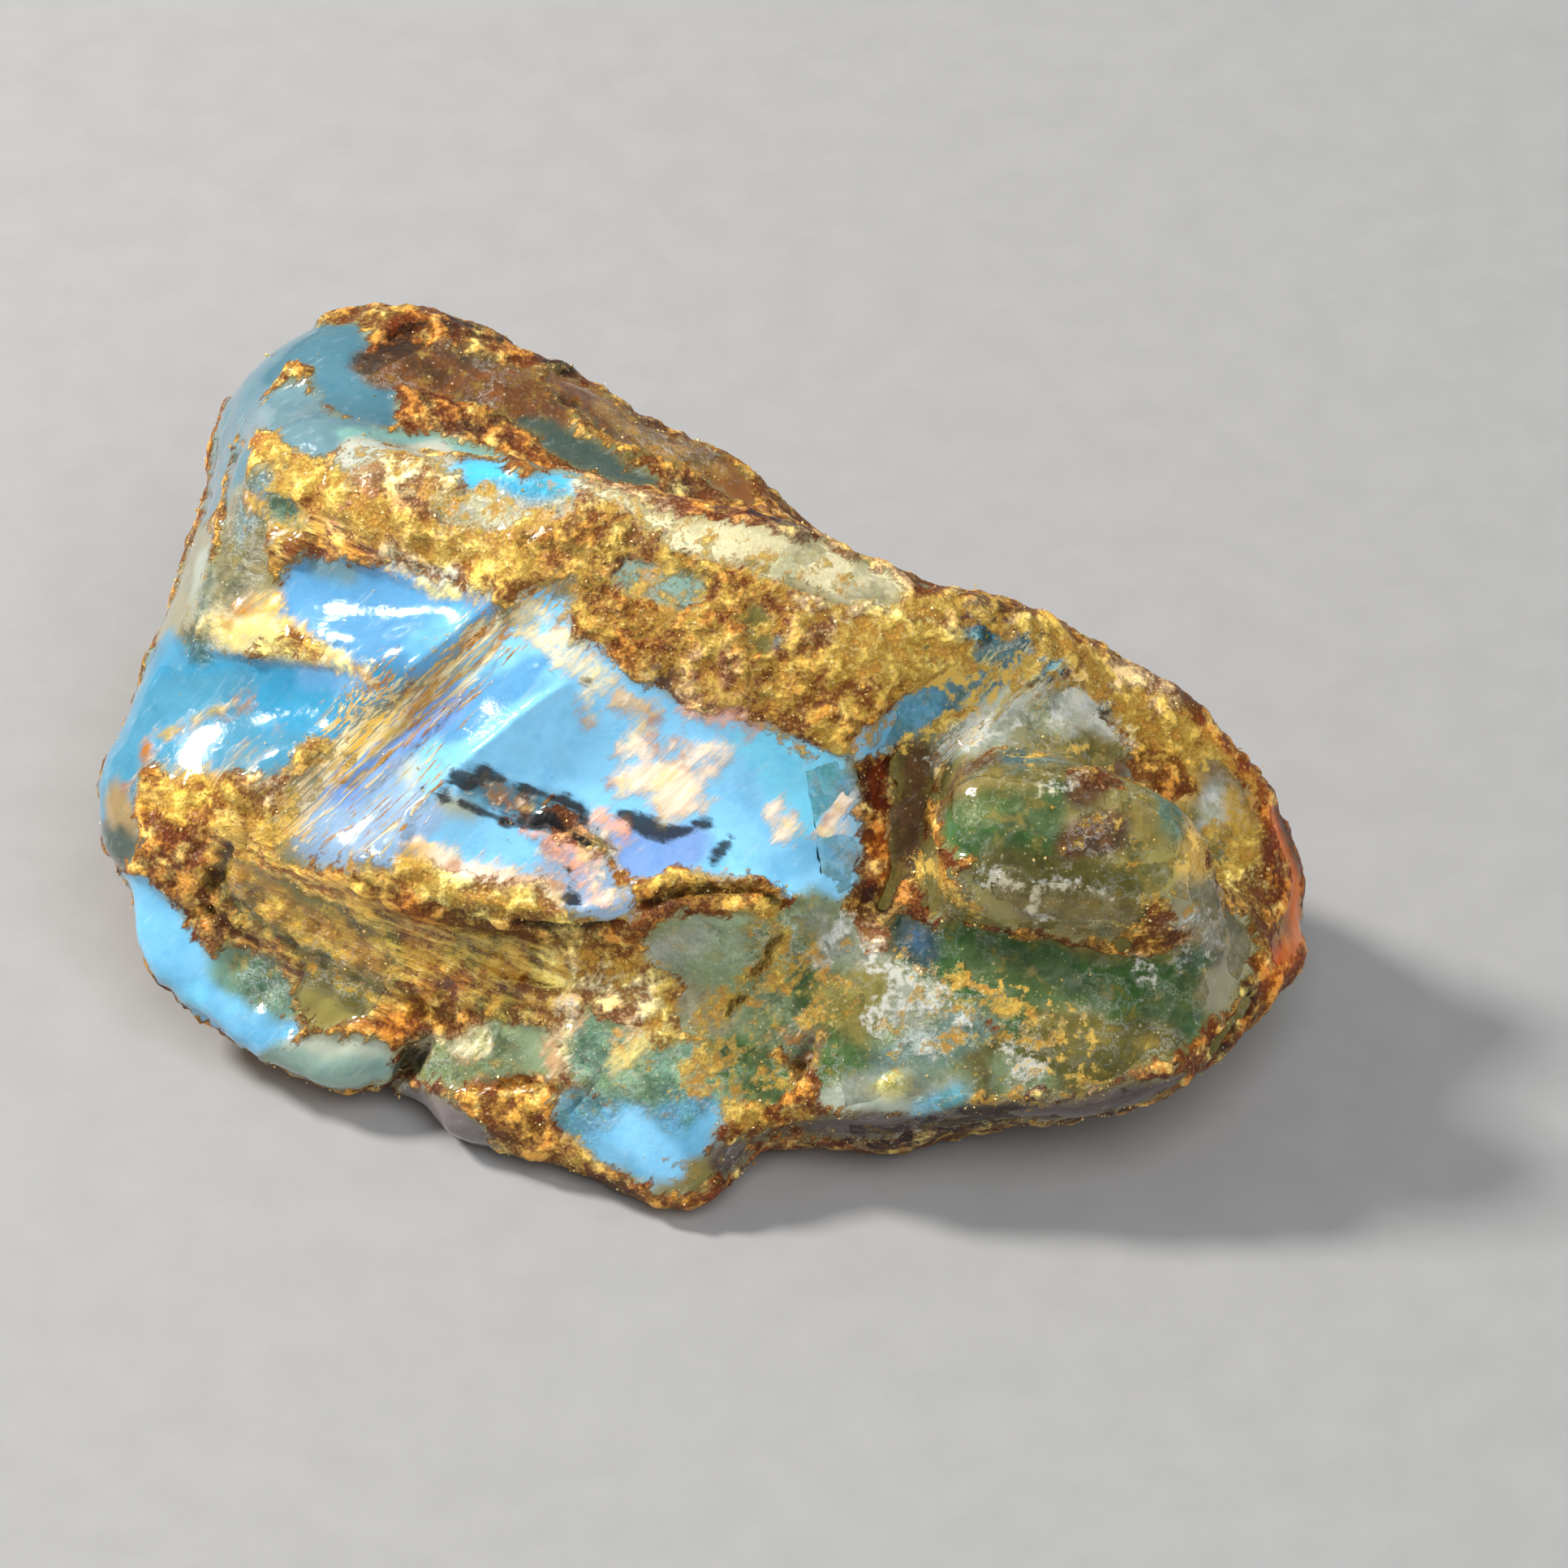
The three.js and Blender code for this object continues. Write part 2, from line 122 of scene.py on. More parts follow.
# Clean windows and the colour of each, as (name, colour, path). A path is a row of (x, climb, radius)
# stations in mm. Climb is y + z, the same all along a line that looks down on the display side at 45
# degrees, so x and climb together fix one place on that side.
WINDOWS = (
    ("back lobe", "dusk", ((-17.5, 38, 1.3), (-16, 35, 1.7), (-15, 33, 1))),
    ("lobe rim", "dusk", ((-19.5, 37, 1.1), (-21, 34, 1.1), (-21.5, 29.5, 1.1), (-21.5, 26, 0.8))),
    ("lobe dip", "haze", ((-19.5, 33.5, 1.3), (-17.5, 31.5, 1.3), (-15.5, 32, 0.7))),
    ("lobe top", "dusk", ((-19.5, 38, 1.3), (-17.5, 40, 1))),
    ("lobe crust", "sienna", ((-14.5, 36.5, 1.3), (-12, 36, 1.5), (-9, 35, 1.4), (-7, 33, 1))),
    ("far edge", "sienna", ((-6, 35, 1), (-3, 32, 1), (0, 30.5, 1), (2, 28, 0.8))),
    # Painted shade in the valley behind the ridge.
    ("valley", "teal", ((-8, 32.5, 0.3), (-6, 31, 0.8), (-4, 29.5, 0.7), (-2.5, 28.5, 0.3))),
    ("ridge rim strip", "aqua", ((-16, 31.5, 0.4), (-12.5, 31, 0.4), (-10, 30, 0.5), (-6, 28.5, 0.4))),
    ("ridge rim pale", "pearl", ((-16, 30.5, 0.3), (-13.5, 30.5, 0.3), (-11, 29, 0.3))),
    ("band pale", "pearl", ((-16, 29.5, 0.5), (-14, 30.5, 0.4), (-12, 30.5, 0.5))),
    ("ridge pool", "pool", ((-10, 29, 0.9), (-9, 27.5, 1.1))),
    ("ridge small pool", "pool", ((-7.5, 27.5, 0.7), (-6, 28, 0.7))),
    ("ridge pale", "pearl", ((-11, 26.5, 0.6), (-8, 26, 0.8), (-6, 26.5, 0.5))),
    ("near crest", "cream", ((-5.5, 28, 0.2), (-3.5, 27, 0.2), (-1.5, 25.5, 0.2))),
    ("crest", "cream", ((-1, 24.5, 0.5), (1.5, 24, 0.7), (3.5, 23.5, 0.8), (6, 22, 0.9), (8.5, 21, 0.7))),
    ("left edge", "dusk", ((-21.5, 35.5, 1.6), (-22.5, 30.5, 1.5), (-22.5, 27.5, 1.3))),
    ("left edge low", "fawn", ((-23.5, 23.5, 1.6), (-24.5, 20, 1.6))),
    ("left edge scoop", "sea", ((-26, 16.5, 1.6), (-26.5, 13.5, 1.6), (-27.5, 10, 1.8), (-28, 7.5, 1.8))),
    ("left edge nose", "mauve", ((-27.5, 4.5, 1.1),)),
    ("flank", "fawn",
     ((-19.5, 28, 1.1), (-21, 25.5, 1.6), (-21.5, 22.5, 1.6), (-23, 19.5, 1.6), (-19.5, 19.5, 1.1))),
    ("flank green", "jade", ((-19, 26, 0.7), (-20, 26.5, 0.4))),
    ("upper scoop", "azure", ((-17.5, 21, 1.6), (-14.5, 19.5, 2.1), (-12, 19, 1.6), (-10, 20, 0.7))),
    ("upper scoop foot", "azure", ((-16, 16.8, 1), (-13.5, 16.3, 1), (-11, 16.5, 0.9))),
    ("lower scoop", "deep", ((-24, 15, 1.9), (-19.5, 14, 1.9), (-16.5, 14, 1.6), (-14, 15, 0.8))),
    ("lower scoop left", "sea", ((-25, 13, 1.9), (-22, 11.5, 1.7), (-19, 11.5, 1.3))),
    ("left nose", "sea", ((-26.5, 11, 1.3), (-27.5, 9.5, 0.9))),
    ("left nose low", "tan", ((-27, 7.5, 0.8), (-26.5, 5.5, 0.8))),
    ("ochre band", "fawn",
     ((-6, 21, 0.6), (-9, 18, 0.7), (-12, 14.5, 0.7), (-15, 11, 1.2), (-17, 8, 1.3), (-18.5, 5, 1))),
    ("main face top", "sky",
     ((-7, 19, 1.3), (-8, 14.5, 3.1), (-9.5, 10.5, 3.1), (-11.5, 7.5, 2.2), (-12.5, 10.5, 1.5))),
    ("main face left", "milk", ((-14.5, 7, 2.2), (-17, 5.5, 1.3), (-13, 4.5, 0.9))),
    ("main face", "sky",
     ((-6, 13, 3.1), (-2.5, 9.5, 3.3), (1, 8, 3.6), (4, 7, 3), (5, 4, 1.9), (6, 2.5, 1.1))),
    ("main face low", "lilac", ((-3, 4.5, 1), (-0.5, 4.5, 0.9))),
    ("main face foot", "sky", ((-11, 5.5, 1.3), (-8, 4.5, 1.3))),
    ("plate end", "milk", ((-6, 3, 1.1), (-4, 1.5, 1))),
    ("main face right", "cyan", ((2.5, 11.5, 0.8), (5.5, 9.5, 1))),
    ("wet olive", "olive", ((-21, 2, 1.1), (-18, -0.5, 1.6), (-15.5, -3, 1.5), (-17, -5, 1.3))),
    ("lip edge", "lagoon",
     ((-26, 1, 1.3), (-26, -2, 1.5), (-25, -4, 1.5), (-23, -6.5, 1.5), (-21.5, -8.5, 1.3))),
    ("lip upper", "lagoon",
     ((-25, 0, 1), (-24.5, -3, 1.5), (-23, -5, 1.5), (-21.5, -7, 1.2), (-19.5, -7.5, 0.9))),
    ("lip green", "jade", ((-21.5, -3.5, 1), (-19.5, -5, 0.9))),
    ("lip lower", "mist", ((-18, -9, 0.9), (-16.5, -9.5, 1), (-15, -9, 0.9))),
    ("lip foot", "steel", ((-19, -10, 0.9), (-16.5, -10.5, 0.9), (-14.5, -10, 0.7))),
    ("ledge", "sage", ((-12.5, -9.5, 0.8), (-11, -9, 0.9), (-9, -8.5, 1), (-7, -8.5, 0.7))),
    ("toe top", "mint", ((-5, -8, 1.3), (-2.5, -10.5, 1.9), (0, -10.5, 1.7))),
    ("toe", "lagoon", ((-5.5, -12.5, 1), (-3.5, -14, 1.5), (-1.5, -15, 1.6), (-0.5, -13, 1.3))),
    ("toe side", "olive", ((0, -16, 0.7), (-1.5, -17, 0.4))),
    ("plate", "sage", ((-0.5, -1.5, 1.6), (1.5, -2, 1.9), (1, -5.5, 1.6), (2.5, -7, 1.3))),
    ("mottle green", "fern", ((1.5, -9, 1), (3, -10.5, 0.8))),
    ("lower right", "sage", ((5, -1.5, 2.1), (5, -6, 2.2), (8.5, -5.5, 2.4), (11, -8.5, 2.2))),
    ("low pale", "mist", ((6.5, -10, 1.3), (9, -11, 1), (11.5, -11.5, 0.7))),
    ("low spot", "cyan", ((10.5, -12, 0.6), (11.5, -11.5, 0.4))),
    ("lower lip", "lilacgrey", ((-13, -12, 0.8), (-11, -14, 1.1), (-8, -15.5, 0.8))),
    # The underside: its mauve-brown colour darkened with painted shade.
    ("underside", "dusky", ((1.5, -15.5, 0.8), (7.5, -13.5, 1.1), (14.5, -12.5, 1), (21.5, -10.5, 0.6))),
    # Painted shade in the groove below the crevice.
    ("groove pool", "abyss", ((9.5, -1, 0.9), (11, -2.5, 0.7))),
    ("green band", "forest",
     ((12, -2.5, 1.5), (15, -4.5, 2.1), (18.5, -6, 2.2), (21, -5.5, 1.9), (23, -3, 1.3))),
    ("band foot", "moss", ((13.5, -9, 1.3), (17, -9, 1.1), (20.5, -7.5, 0.9))),
    ("fan base", "haze", ((11, 14.5, 1), (13, 15.5, 1), (14.5, 17, 0.8))),
    ("fan low", "mist", ((11.5, 11, 0.8), (14.5, 13, 1.3), (17, 13.5, 0.9))),
    ("above crevice", "lagoon", ((7.5, 11, 0.5), (9, 12.5, 0.7), (10.5, 14, 0.7))),
    ("knob pool", "forest", ((12.5, 7, 2), (15.5, 7, 2))),
    ("knob right", "straw", ((19, 5.5, 2.2), (21.5, 4, 1.9))),
    ("knob foot", "moss", ((13.5, 2, 1.7), (18, 1, 1.9))),
    ("knob surround", "olive",
     ((11.5, 9, 1.1), (14.5, 10, 1.5), (18, 10.5, 1.5), (21, 8, 1.6), (23.5, 5.5, 1.6))),
    ("knob side", "tan", ((23.5, 9, 1), (25, 6.5, 0.9))),
    ("knob left", "olive", ((10.5, 4.5, 0.7), (11, 1, 0.9), (12.5, 0.5, 1.1))),
    ("knob low", "fawn", ((22.5, 1.5, 1.3), (24.5, -1.5, 1.1), (23.5, -4.5, 1.1))),
    ("crust teal", "steel", ((-3, 22, 0.6), (-0.5, 21, 0.7))),
    ("crust sea", "moss", ((2.5, 19, 0.4), (3, 17.5, 0.4))),
    # Painted shade along the edge of the crevice.
    ("crevice margin", "umber", ((10, 10.5, 0.5), (9.5, 7, 0.5), (9.5, 3.5, 0.4))),
)

# Colours inside the windows, laid over the colours above in this order, as (name, colour, path).
WINDOW_TINTS = (
    ("lobe umber", "umber", ((-15.5, 36.5, 0.6), (-13, 38.5, 0.5), (-10, 36.5, 0.4))),
    ("lobe honey", "sienna", ((-13, 35, 0.7), (-10.5, 35, 0.7), (-8.5, 34, 0.5))),
    ("far honey", "honey", ((-4.5, 33.5, 0.4), (-2.5, 31.5, 0.5), (0.5, 29.5, 0.5))),
    ("flank slate", "haze", ((-20, 28, 0.5), (-21, 25.5, 0.5))),
    ("flank pale", "mist", ((-23, 23, 0.8), (-23, 20.5, 0.6))),
    ("flank lemon", "cream", ((-22.5, 19, 0.5), (-20, 18.5, 0.7), (-17.5, 17, 0.6))),
    ("scoop top", "haze", ((-17.5, 23, 0.4), (-16, 22.5, 0.4))),
    ("scoop low", "lagoon", ((-12.5, 18, 0.7), (-11, 19, 0.6))),
    ("lower scoop light", "azure", ((-18, 15.5, 0.4), (-15, 15, 0.4))),
    ("lower scoop green", "sea", ((-24, 14.5, 0.8), (-21, 15, 0.6))),
    ("lower scoop deep", "deep", ((-19, 13, 0.8), (-17, 13.5, 0.6))),
    ("nose shade", "teal", ((-27.5, 5, 0.7), (-26, 4.5, 0.7))),
    ("crest milk", "azure", ((-11, 12.5, 0.7), (-9, 14.5, 0.8), (-6.5, 16, 0.7))),
    ("face milk", "sky", ((-6, 15, 0.9), (-4.5, 16, 0.7))),
    ("face cyan right", "cyan", ((5, 7, 1), (3.5, 9.5, 0.7))),
    ("face sea low", "lagoon", ((5, 4, 0.7), (3.5, 3, 0.6))),
    ("face cream", "pearl", ((-13.5, 10, 0.4), (-13, 9.5, 0.4))),
    ("face cream low", "mist", ((-11.5, 7.5, 0.4), (-10.5, 7, 0.4))),
    ("left milk", "milk", ((-14.5, 6, 0.9), (-12.5, 6.5, 0.7))),
    ("rose left", "lilac", ((-16, 9, 0.8), (-13, 12, 0.7), (-11, 14.5, 0.5))),
    ("soot shade", "dusk", ((-10, 8.5, 0.5), (-7.5, 7.5, 0.6), (-5.5, 6.5, 0.5))),
    ("wet honey", "honey", ((-21, 2.5, 0.7), (-19, 0.5, 0.6), (-13.5, -3.5, 0.7))),
    ("lip cyan", "cyan", ((-23.5, -5.5, 0.4),)),
    ("toe sky", "sky", ((-3, -13.5, 1), (-1.5, -15.5, 0.7))),
    ("plate fern", "mist", ((-1.5, -2.5, 0.7), (0, -1, 0.5))),
    ("plate fawn", "fawn", ((-0.5, -5, 0.6), (1, -6.5, 0.5))),
    ("mottle jade", "fern", ((2.5, -9.5, 0.5),)),
    ("lower mist", "mist", ((5.5, -0.5, 0.6), (7.5, -2.5, 0.7), (10, -6, 0.7))),
    ("lower fern", "fern", ((4.5, -3.5, 0.7), (7, -8.5, 0.7), (3.5, -10.5, 0.7))),
    ("lower olive", "straw", ((6, -5, 0.8), (8, -4, 0.7), (7, -6.5, 0.7))),
    ("lower steel", "steel", ((10, -8.5, 0.8), (12.5, -6.5, 0.8), (8.5, -9, 0.6))),
    ("yellow bead", "canary", ((8.7, -10.4, 0.35),)),
    ("lower right mist", "sage", ((14, -10, 0.7), (15.5, -10, 0.6))),
    ("groove blue", "navy", ((10, -1, 0.4), (10.5, -2, 0.4))),
    ("band fern", "forest", ((13.5, -2.5, 0.8), (17, -4.5, 1), (14.5, -7, 0.7))),
    ("band honey", "moss", ((17.5, -8, 0.8), (15.5, -8.5, 0.6), (21, -8, 0.6))),
    ("lower band olive", "olive", ((15.5, -6.5, 0.5), (18, -7, 0.5))),
    ("fan milk", "chalk", ((12.5, 13, 0.5), (14.5, 14.5, 0.5), (16, 16.5, 0.5))),
    ("fan mist", "chalk", ((17.5, 14, 0.4), (16, 12.5, 0.3), (19.5, 12.5, 0.3))),
    ("right rim rust", "ember", ((23.5, 12.5, 0.6), (26, 8.5, 0.8), (27.5, 0.5, 1), (26, -4, 0.7))),
    ("rim honey", "honey", ((25.5, 7.5, 0.4), (26.5, 3.5, 0.4), (27, -1, 0.4))),
    ("right inner", "gold", ((24.5, 7, 0.6), (26, 3.5, 0.7), (26, 0, 0.7))),
    ("knob top", "slate", ((14.5, 10.5, 0.7), (16, 10.5, 0.7))),
    ("knob brown", "umber", ((17.5, 8.5, 0.8), (19.5, 9.5, 0.6))),
    ("knob brown low", "umber", ((17, 5, 0.7), (18.5, 6, 0.7))),
    ("knob jade", "jade", ((20.5, 10.5, 0.8), (21.5, 6.5, 0.7))),
    ("knob honey", "amber", ((22, 9, 0.8), (22.5, 4, 0.9))),
    ("knob honey left", "umber", ((13, 10.5, 0.4), (11, 7, 0.4))),
    ("knob pale", "chalk", ((23.5, 8, 0.4), (23.5, 6.5, 0.4))),
    ("knob olive", "olive", ((13.5, 0.5, 0.7), (16, 0.5, 0.7), (19.5, 0.5, 0.8))),
    ("knob green", "forest", ((13.5, 6.5, 1), (11.5, 6.5, 0.7))),
)

# Thin pale or coloured plates that lie on the windows, as (name, colour, cover, path). Cover is how deep the
# middle of a patch may count, so one near 0 is only half filled and one below 0 is a scatter.
FLAKES = (
    ("big flake", "peach", 0.5, ((-3.5, 9, 0.6), (-1.5, 9, 1), (-0.5, 8, 0.9), (-1.5, 7, 0.6))),
    ("flake wing", "peach", 0.1, ((-2, 11, 0.7), (0.5, 10.5, 0.8), (1.5, 11, 0.4))),
    ("flake two", "peach", 0.3, ((3.5, 7, 0.4), (4, 6, 0.5))),
    ("flake three", "peach", 0.4, ((6, 6, 0.7), (6.5, 7.5, 0.5))),
    ("flake small", "peach", 0, ((-3.5, 11, 0.4), (-2.5, 12.5, 0.4), (-2, 13, 0.3))),
    ("flake strip", "salmon", 0.5, ((-0.5, 13.5, 0.3), (1.5, 13, 0.4), (2.5, 12.5, 0.3))),
    ("lens", "peach", 0.1, ((-6.5, 4.5, 0.5), (-5, 3, 0.7), (-4, 1.5, 0.3))),
    ("flake low", "salmon", 0.6, ((-7, 4.5, 0.4), (-6, 5.5, 0.5), (-5, 4, 0.5), (-6, 3.5, 0.4))),
    ("flake low two", "salmon", 0.5, ((-4.5, 6.5, 0.4), (-3.5, 5.5, 0.4))),
    ("lens rim", "salmon", 0.6, ((-7.5, 5.5, 0.3), (-6, 3.5, 0.3), (-4.5, 1.5, 0.2))),
    ("lens rim low", "gold", 0.3, ((-4, 4.5, 0.2), (-3.5, 3, 0.2), (-3.5, 1.5, 0.2))),
    ("streak glow", "honey", 0.1, ((-9.5, 8.5, 0.3), (-8, 7.5, 0.3))),
    ("plate bone", "bone", 0.8, ((-10, 2.5, 1.1), (-7, 1.5, 1))),
    ("plate peach", "peach", 0.8, ((-12.5, 4.5, 0.7), (-11, 3, 0.8), (-9, 2.5, 0.5))),
    ("plate gold", "gold", 0.4, ((-13, 3.5, 0.6), (-11, 1.5, 0.4), (-8, 0, 0.4))),
    ("face cut", "cream", 0.5, ((-4.5, 14.5, 0.3), (-5, 13, 0.3))),
    ("face rim", "cream", 0.1, ((-7.5, 19, 0.7), (-6, 17, 0.8), (-4, 15, 0.5))),
    ("face rim low", "bone", 0.2, ((-3.5, 14, 0.5), (-2, 13, 0.4))),
    ("squiggle", "straw", 0.4, ((-25, 12, 0.2), (-23, 12.5, 0.15), (-22, 13.5, 0.2), (-20.5, 14, 0.2))),
    ("nose fleck", "honey", 0.4, ((-25.5, 11, 0.5),)),
    ("nose spot", "umber", 0.5, ((-26.5, 8.5, 0.3),)),
    ("nose gold", "gold", -0.1, ((-24.5, 9, 1.1), (-22.5, 8, 1.3), (-19.5, 6.5, 1.1))),
    ("window haze", "fawn", -0.2, ((-21, 10.5, 0.9), (-19.5, 12, 0.6))),
    ("scoop lip", "lemon", 0.4, ((-14, 22.5, 0.3), (-12, 21, 0.3), (-10, 21, 0.3))),
    ("flank strip", "lemon", 0.7, ((-23, 19, 0.4), (-20, 18.5, 0.6), (-17.5, 17, 0.5), (-15, 16, 0.3))),
    ("flank gold", "gold", 0.2, ((-21, 20.5, 0.3), (-19.5, 20, 0.4), (-18, 18.5, 0.4))),
    ("flank brown", "gold", 0, ((-20.5, 27, 0.4), (-19, 25, 0.4), (-18, 26, 0.4))),
    ("toe rust", "rust", 0.3, ((-9.5, -11, 0.7), (-8, -11.5, 0.7), (-7.5, -13.5, 0.5))),
    ("toe cream", "lemon", 0.3, ((-8, -13, 0.4), (-6.5, -14.5, 0.7), (-5, -16, 0.5))),
    ("ledge cream", "cream", 0, ((-12.5, -8.5, 0.4), (-10, -8, 0.6))),
    ("patch low", "lemon", 0.8, ((-2, -5, 0.4), (-2.5, -7, 0.6), (-3, -8.5, 0.5), (-4, -9.5, 0.4))),
    ("patch left", "cream", 0.5, ((-5.5, -6.5, 0.4), (-6.5, -8, 0.4), (-6.5, -9, 0.4))),
    ("low brown", "honey", -0.1, ((5, -3, 0.4), (7.5, -3.5, 0.4), (8.5, -4, 0.4))),
    ("low dark", "umber", 0.2, ((5, -9, 0.4), (5.5, -7, 0.4), (4, -7.5, 0.3))),
    ("crust over teal", "gold", 0.1, ((-2, 21.5, 0.5),)),
)

# Black streaks on the main face, partly dark inclusions and partly painted shadow in the fold under the lens,
# as (name, cover, path) like every list below that has no colour.
SOOT_AND_SHADOW = (
    ("head", 1, ((-11, 9.5, 0.3), (-10, 9, 0.5), (-9, 9, 0.4))),
    ("hook", 0.5, ((-12.5, 8.5, 0.2), (-11.5, 8, 0.3), (-12, 10, 0.1))),
    ("streak", 1, ((-10.5, 7.5, 0.3), (-8.5, 6.5, 0.4), (-7, 6.5, 0.4), (-6, 5.5, 0.3))),
    ("second", 0.6, ((-8, 8.5, 0.3), (-6, 7.5, 0.3), (-5, 6.5, 0.3))),
    ("middle", 0.4, ((-3.5, 6.5, 0.3), (-2.5, 6, 0.3), (-0.5, 5.5, 0.3), (0.5, 6, 0.2))),
    ("low", 0.3, ((-5.5, 5.5, 0.2), (-4, 4.5, 0.2))),
    ("foot", 0.2, ((-6, 3, 0.2), (-5.5, 1.5, 0.3))),
    ("right", 0.1, ((1, 4, 0.3), (1.5, 5, 0.3))),
    ("top", 0.2, ((-5, 15, 0.2), (-4.5, 14.5, 0.1))),
)

# Feathered streaks.
FIBRES = (
    ("scoop crest", 0.6, ((-9.5, 21.5, 0.5), (-8, 21.5, 0.6))),
    ("ochre band", 0.6, ((-6, 22.5, 0.4), (-8, 20, 0.6), (-12, 14.5, 0.7), (-16, 10.5, 1), (-19, 6, 0.8))),
    ("lower scoop end", 0.2, ((-14, 15, 0.7), (-16, 12.5, 0.7))),
    ("face left", -0.5, ((-13, 9, 1.5), (-15.5, 6, 1.1))),
    ("fan", 0.5, ((16.5, 17.5, 0.8), (14, 15, 1.2), (12, 12.5, 1), (10.5, 11, 0.6))),
)

# Windows that are clouded and mottled.
MURK = (
    ("lobe", 1,
     ((-14.5, 36.5, 1.5), (-12, 36, 1.9), (-9, 35, 1.9), (-6, 34, 1.5), (-3, 32, 1.3), (0, 30.5, 1.3))),
    ("ridge pale", 1, ((-14, 30, 0.7), (-11, 26.5, 0.9), (-8, 27, 1), (-6, 27, 0.7))),
    ("crest", -0.1, ((0, 25, 0.4), (3, 24, 0.5), (6, 22.5, 0.6), (8.5, 21, 0.5))),
    ("flank", 0.5, ((-19.5, 28, 1.5), (-21.5, 23.5, 1.9), (-23, 18.5, 1.3))),
    ("left wet", 1, ((-20, -4, 1.3), (-21, 1, 1.5), (-18, -1.5, 1.9), (-15, -3.5, 1.6))),
    ("ledge", 0.8, ((-12.5, -9.5, 0.9), (-9, -8.5, 1.1))),
    ("toe top", 1, ((-6, -14, 1.1), (-4.5, -8.5, 1.9), (-1, -10.5, 1.9))),
    ("plate", 0, ((-1, -2, 2.2), (1.5, -3, 2.2), (0.5, -7.5, 2.2))),
    ("mottle green", 1, ((1.5, -9, 1.1), (3.5, -10.5, 1))),
    ("lower right", 1, ((4.5, -2, 2.6), (5, -6.5, 3), (9, -6, 3.3), (11.5, -9, 2.6))),
    ("underside", 0.5, ((1.5, -16, 0.6), (7.5, -14, 0.7), (14.5, -13, 0.6), (21.5, -11, 0.5))),
    ("green band", 0.6, ((12, -2.5, 1.9), (15, -4.5, 2.2), (18.5, -6, 2.2), (21, -5.5, 1.9))),
    ("band foot", 1, ((13.5, -9, 1.5), (17, -9, 1.3), (20.5, -7.5, 1.1))),
    ("fan", 0.8, ((11, 14.5, 1.5), (14.5, 16, 1.5), (14.5, 13, 1.5), (17.5, 13.5, 1.5))),
    ("top right", 1, ((9.5, 18, 1.5), (12.5, 17, 1.6), (16, 17, 1.6), (20, 13.5, 1.9), (23, 10, 1.6))),
    ("knob surround", 1, ((10, 3, 1.5), (11.5, 1, 1.5))),
    ("knob right", 1, ((21, 8, 1.5), (23.5, 4.5, 1.9), (23, -1, 1.9))),
    ("knob", 1, ((12.5, 9, 1.9), (16, 10, 1.9), (19, 7, 2.2), (16, 2, 2.2), (19.5, 0.5, 1.9))),
)

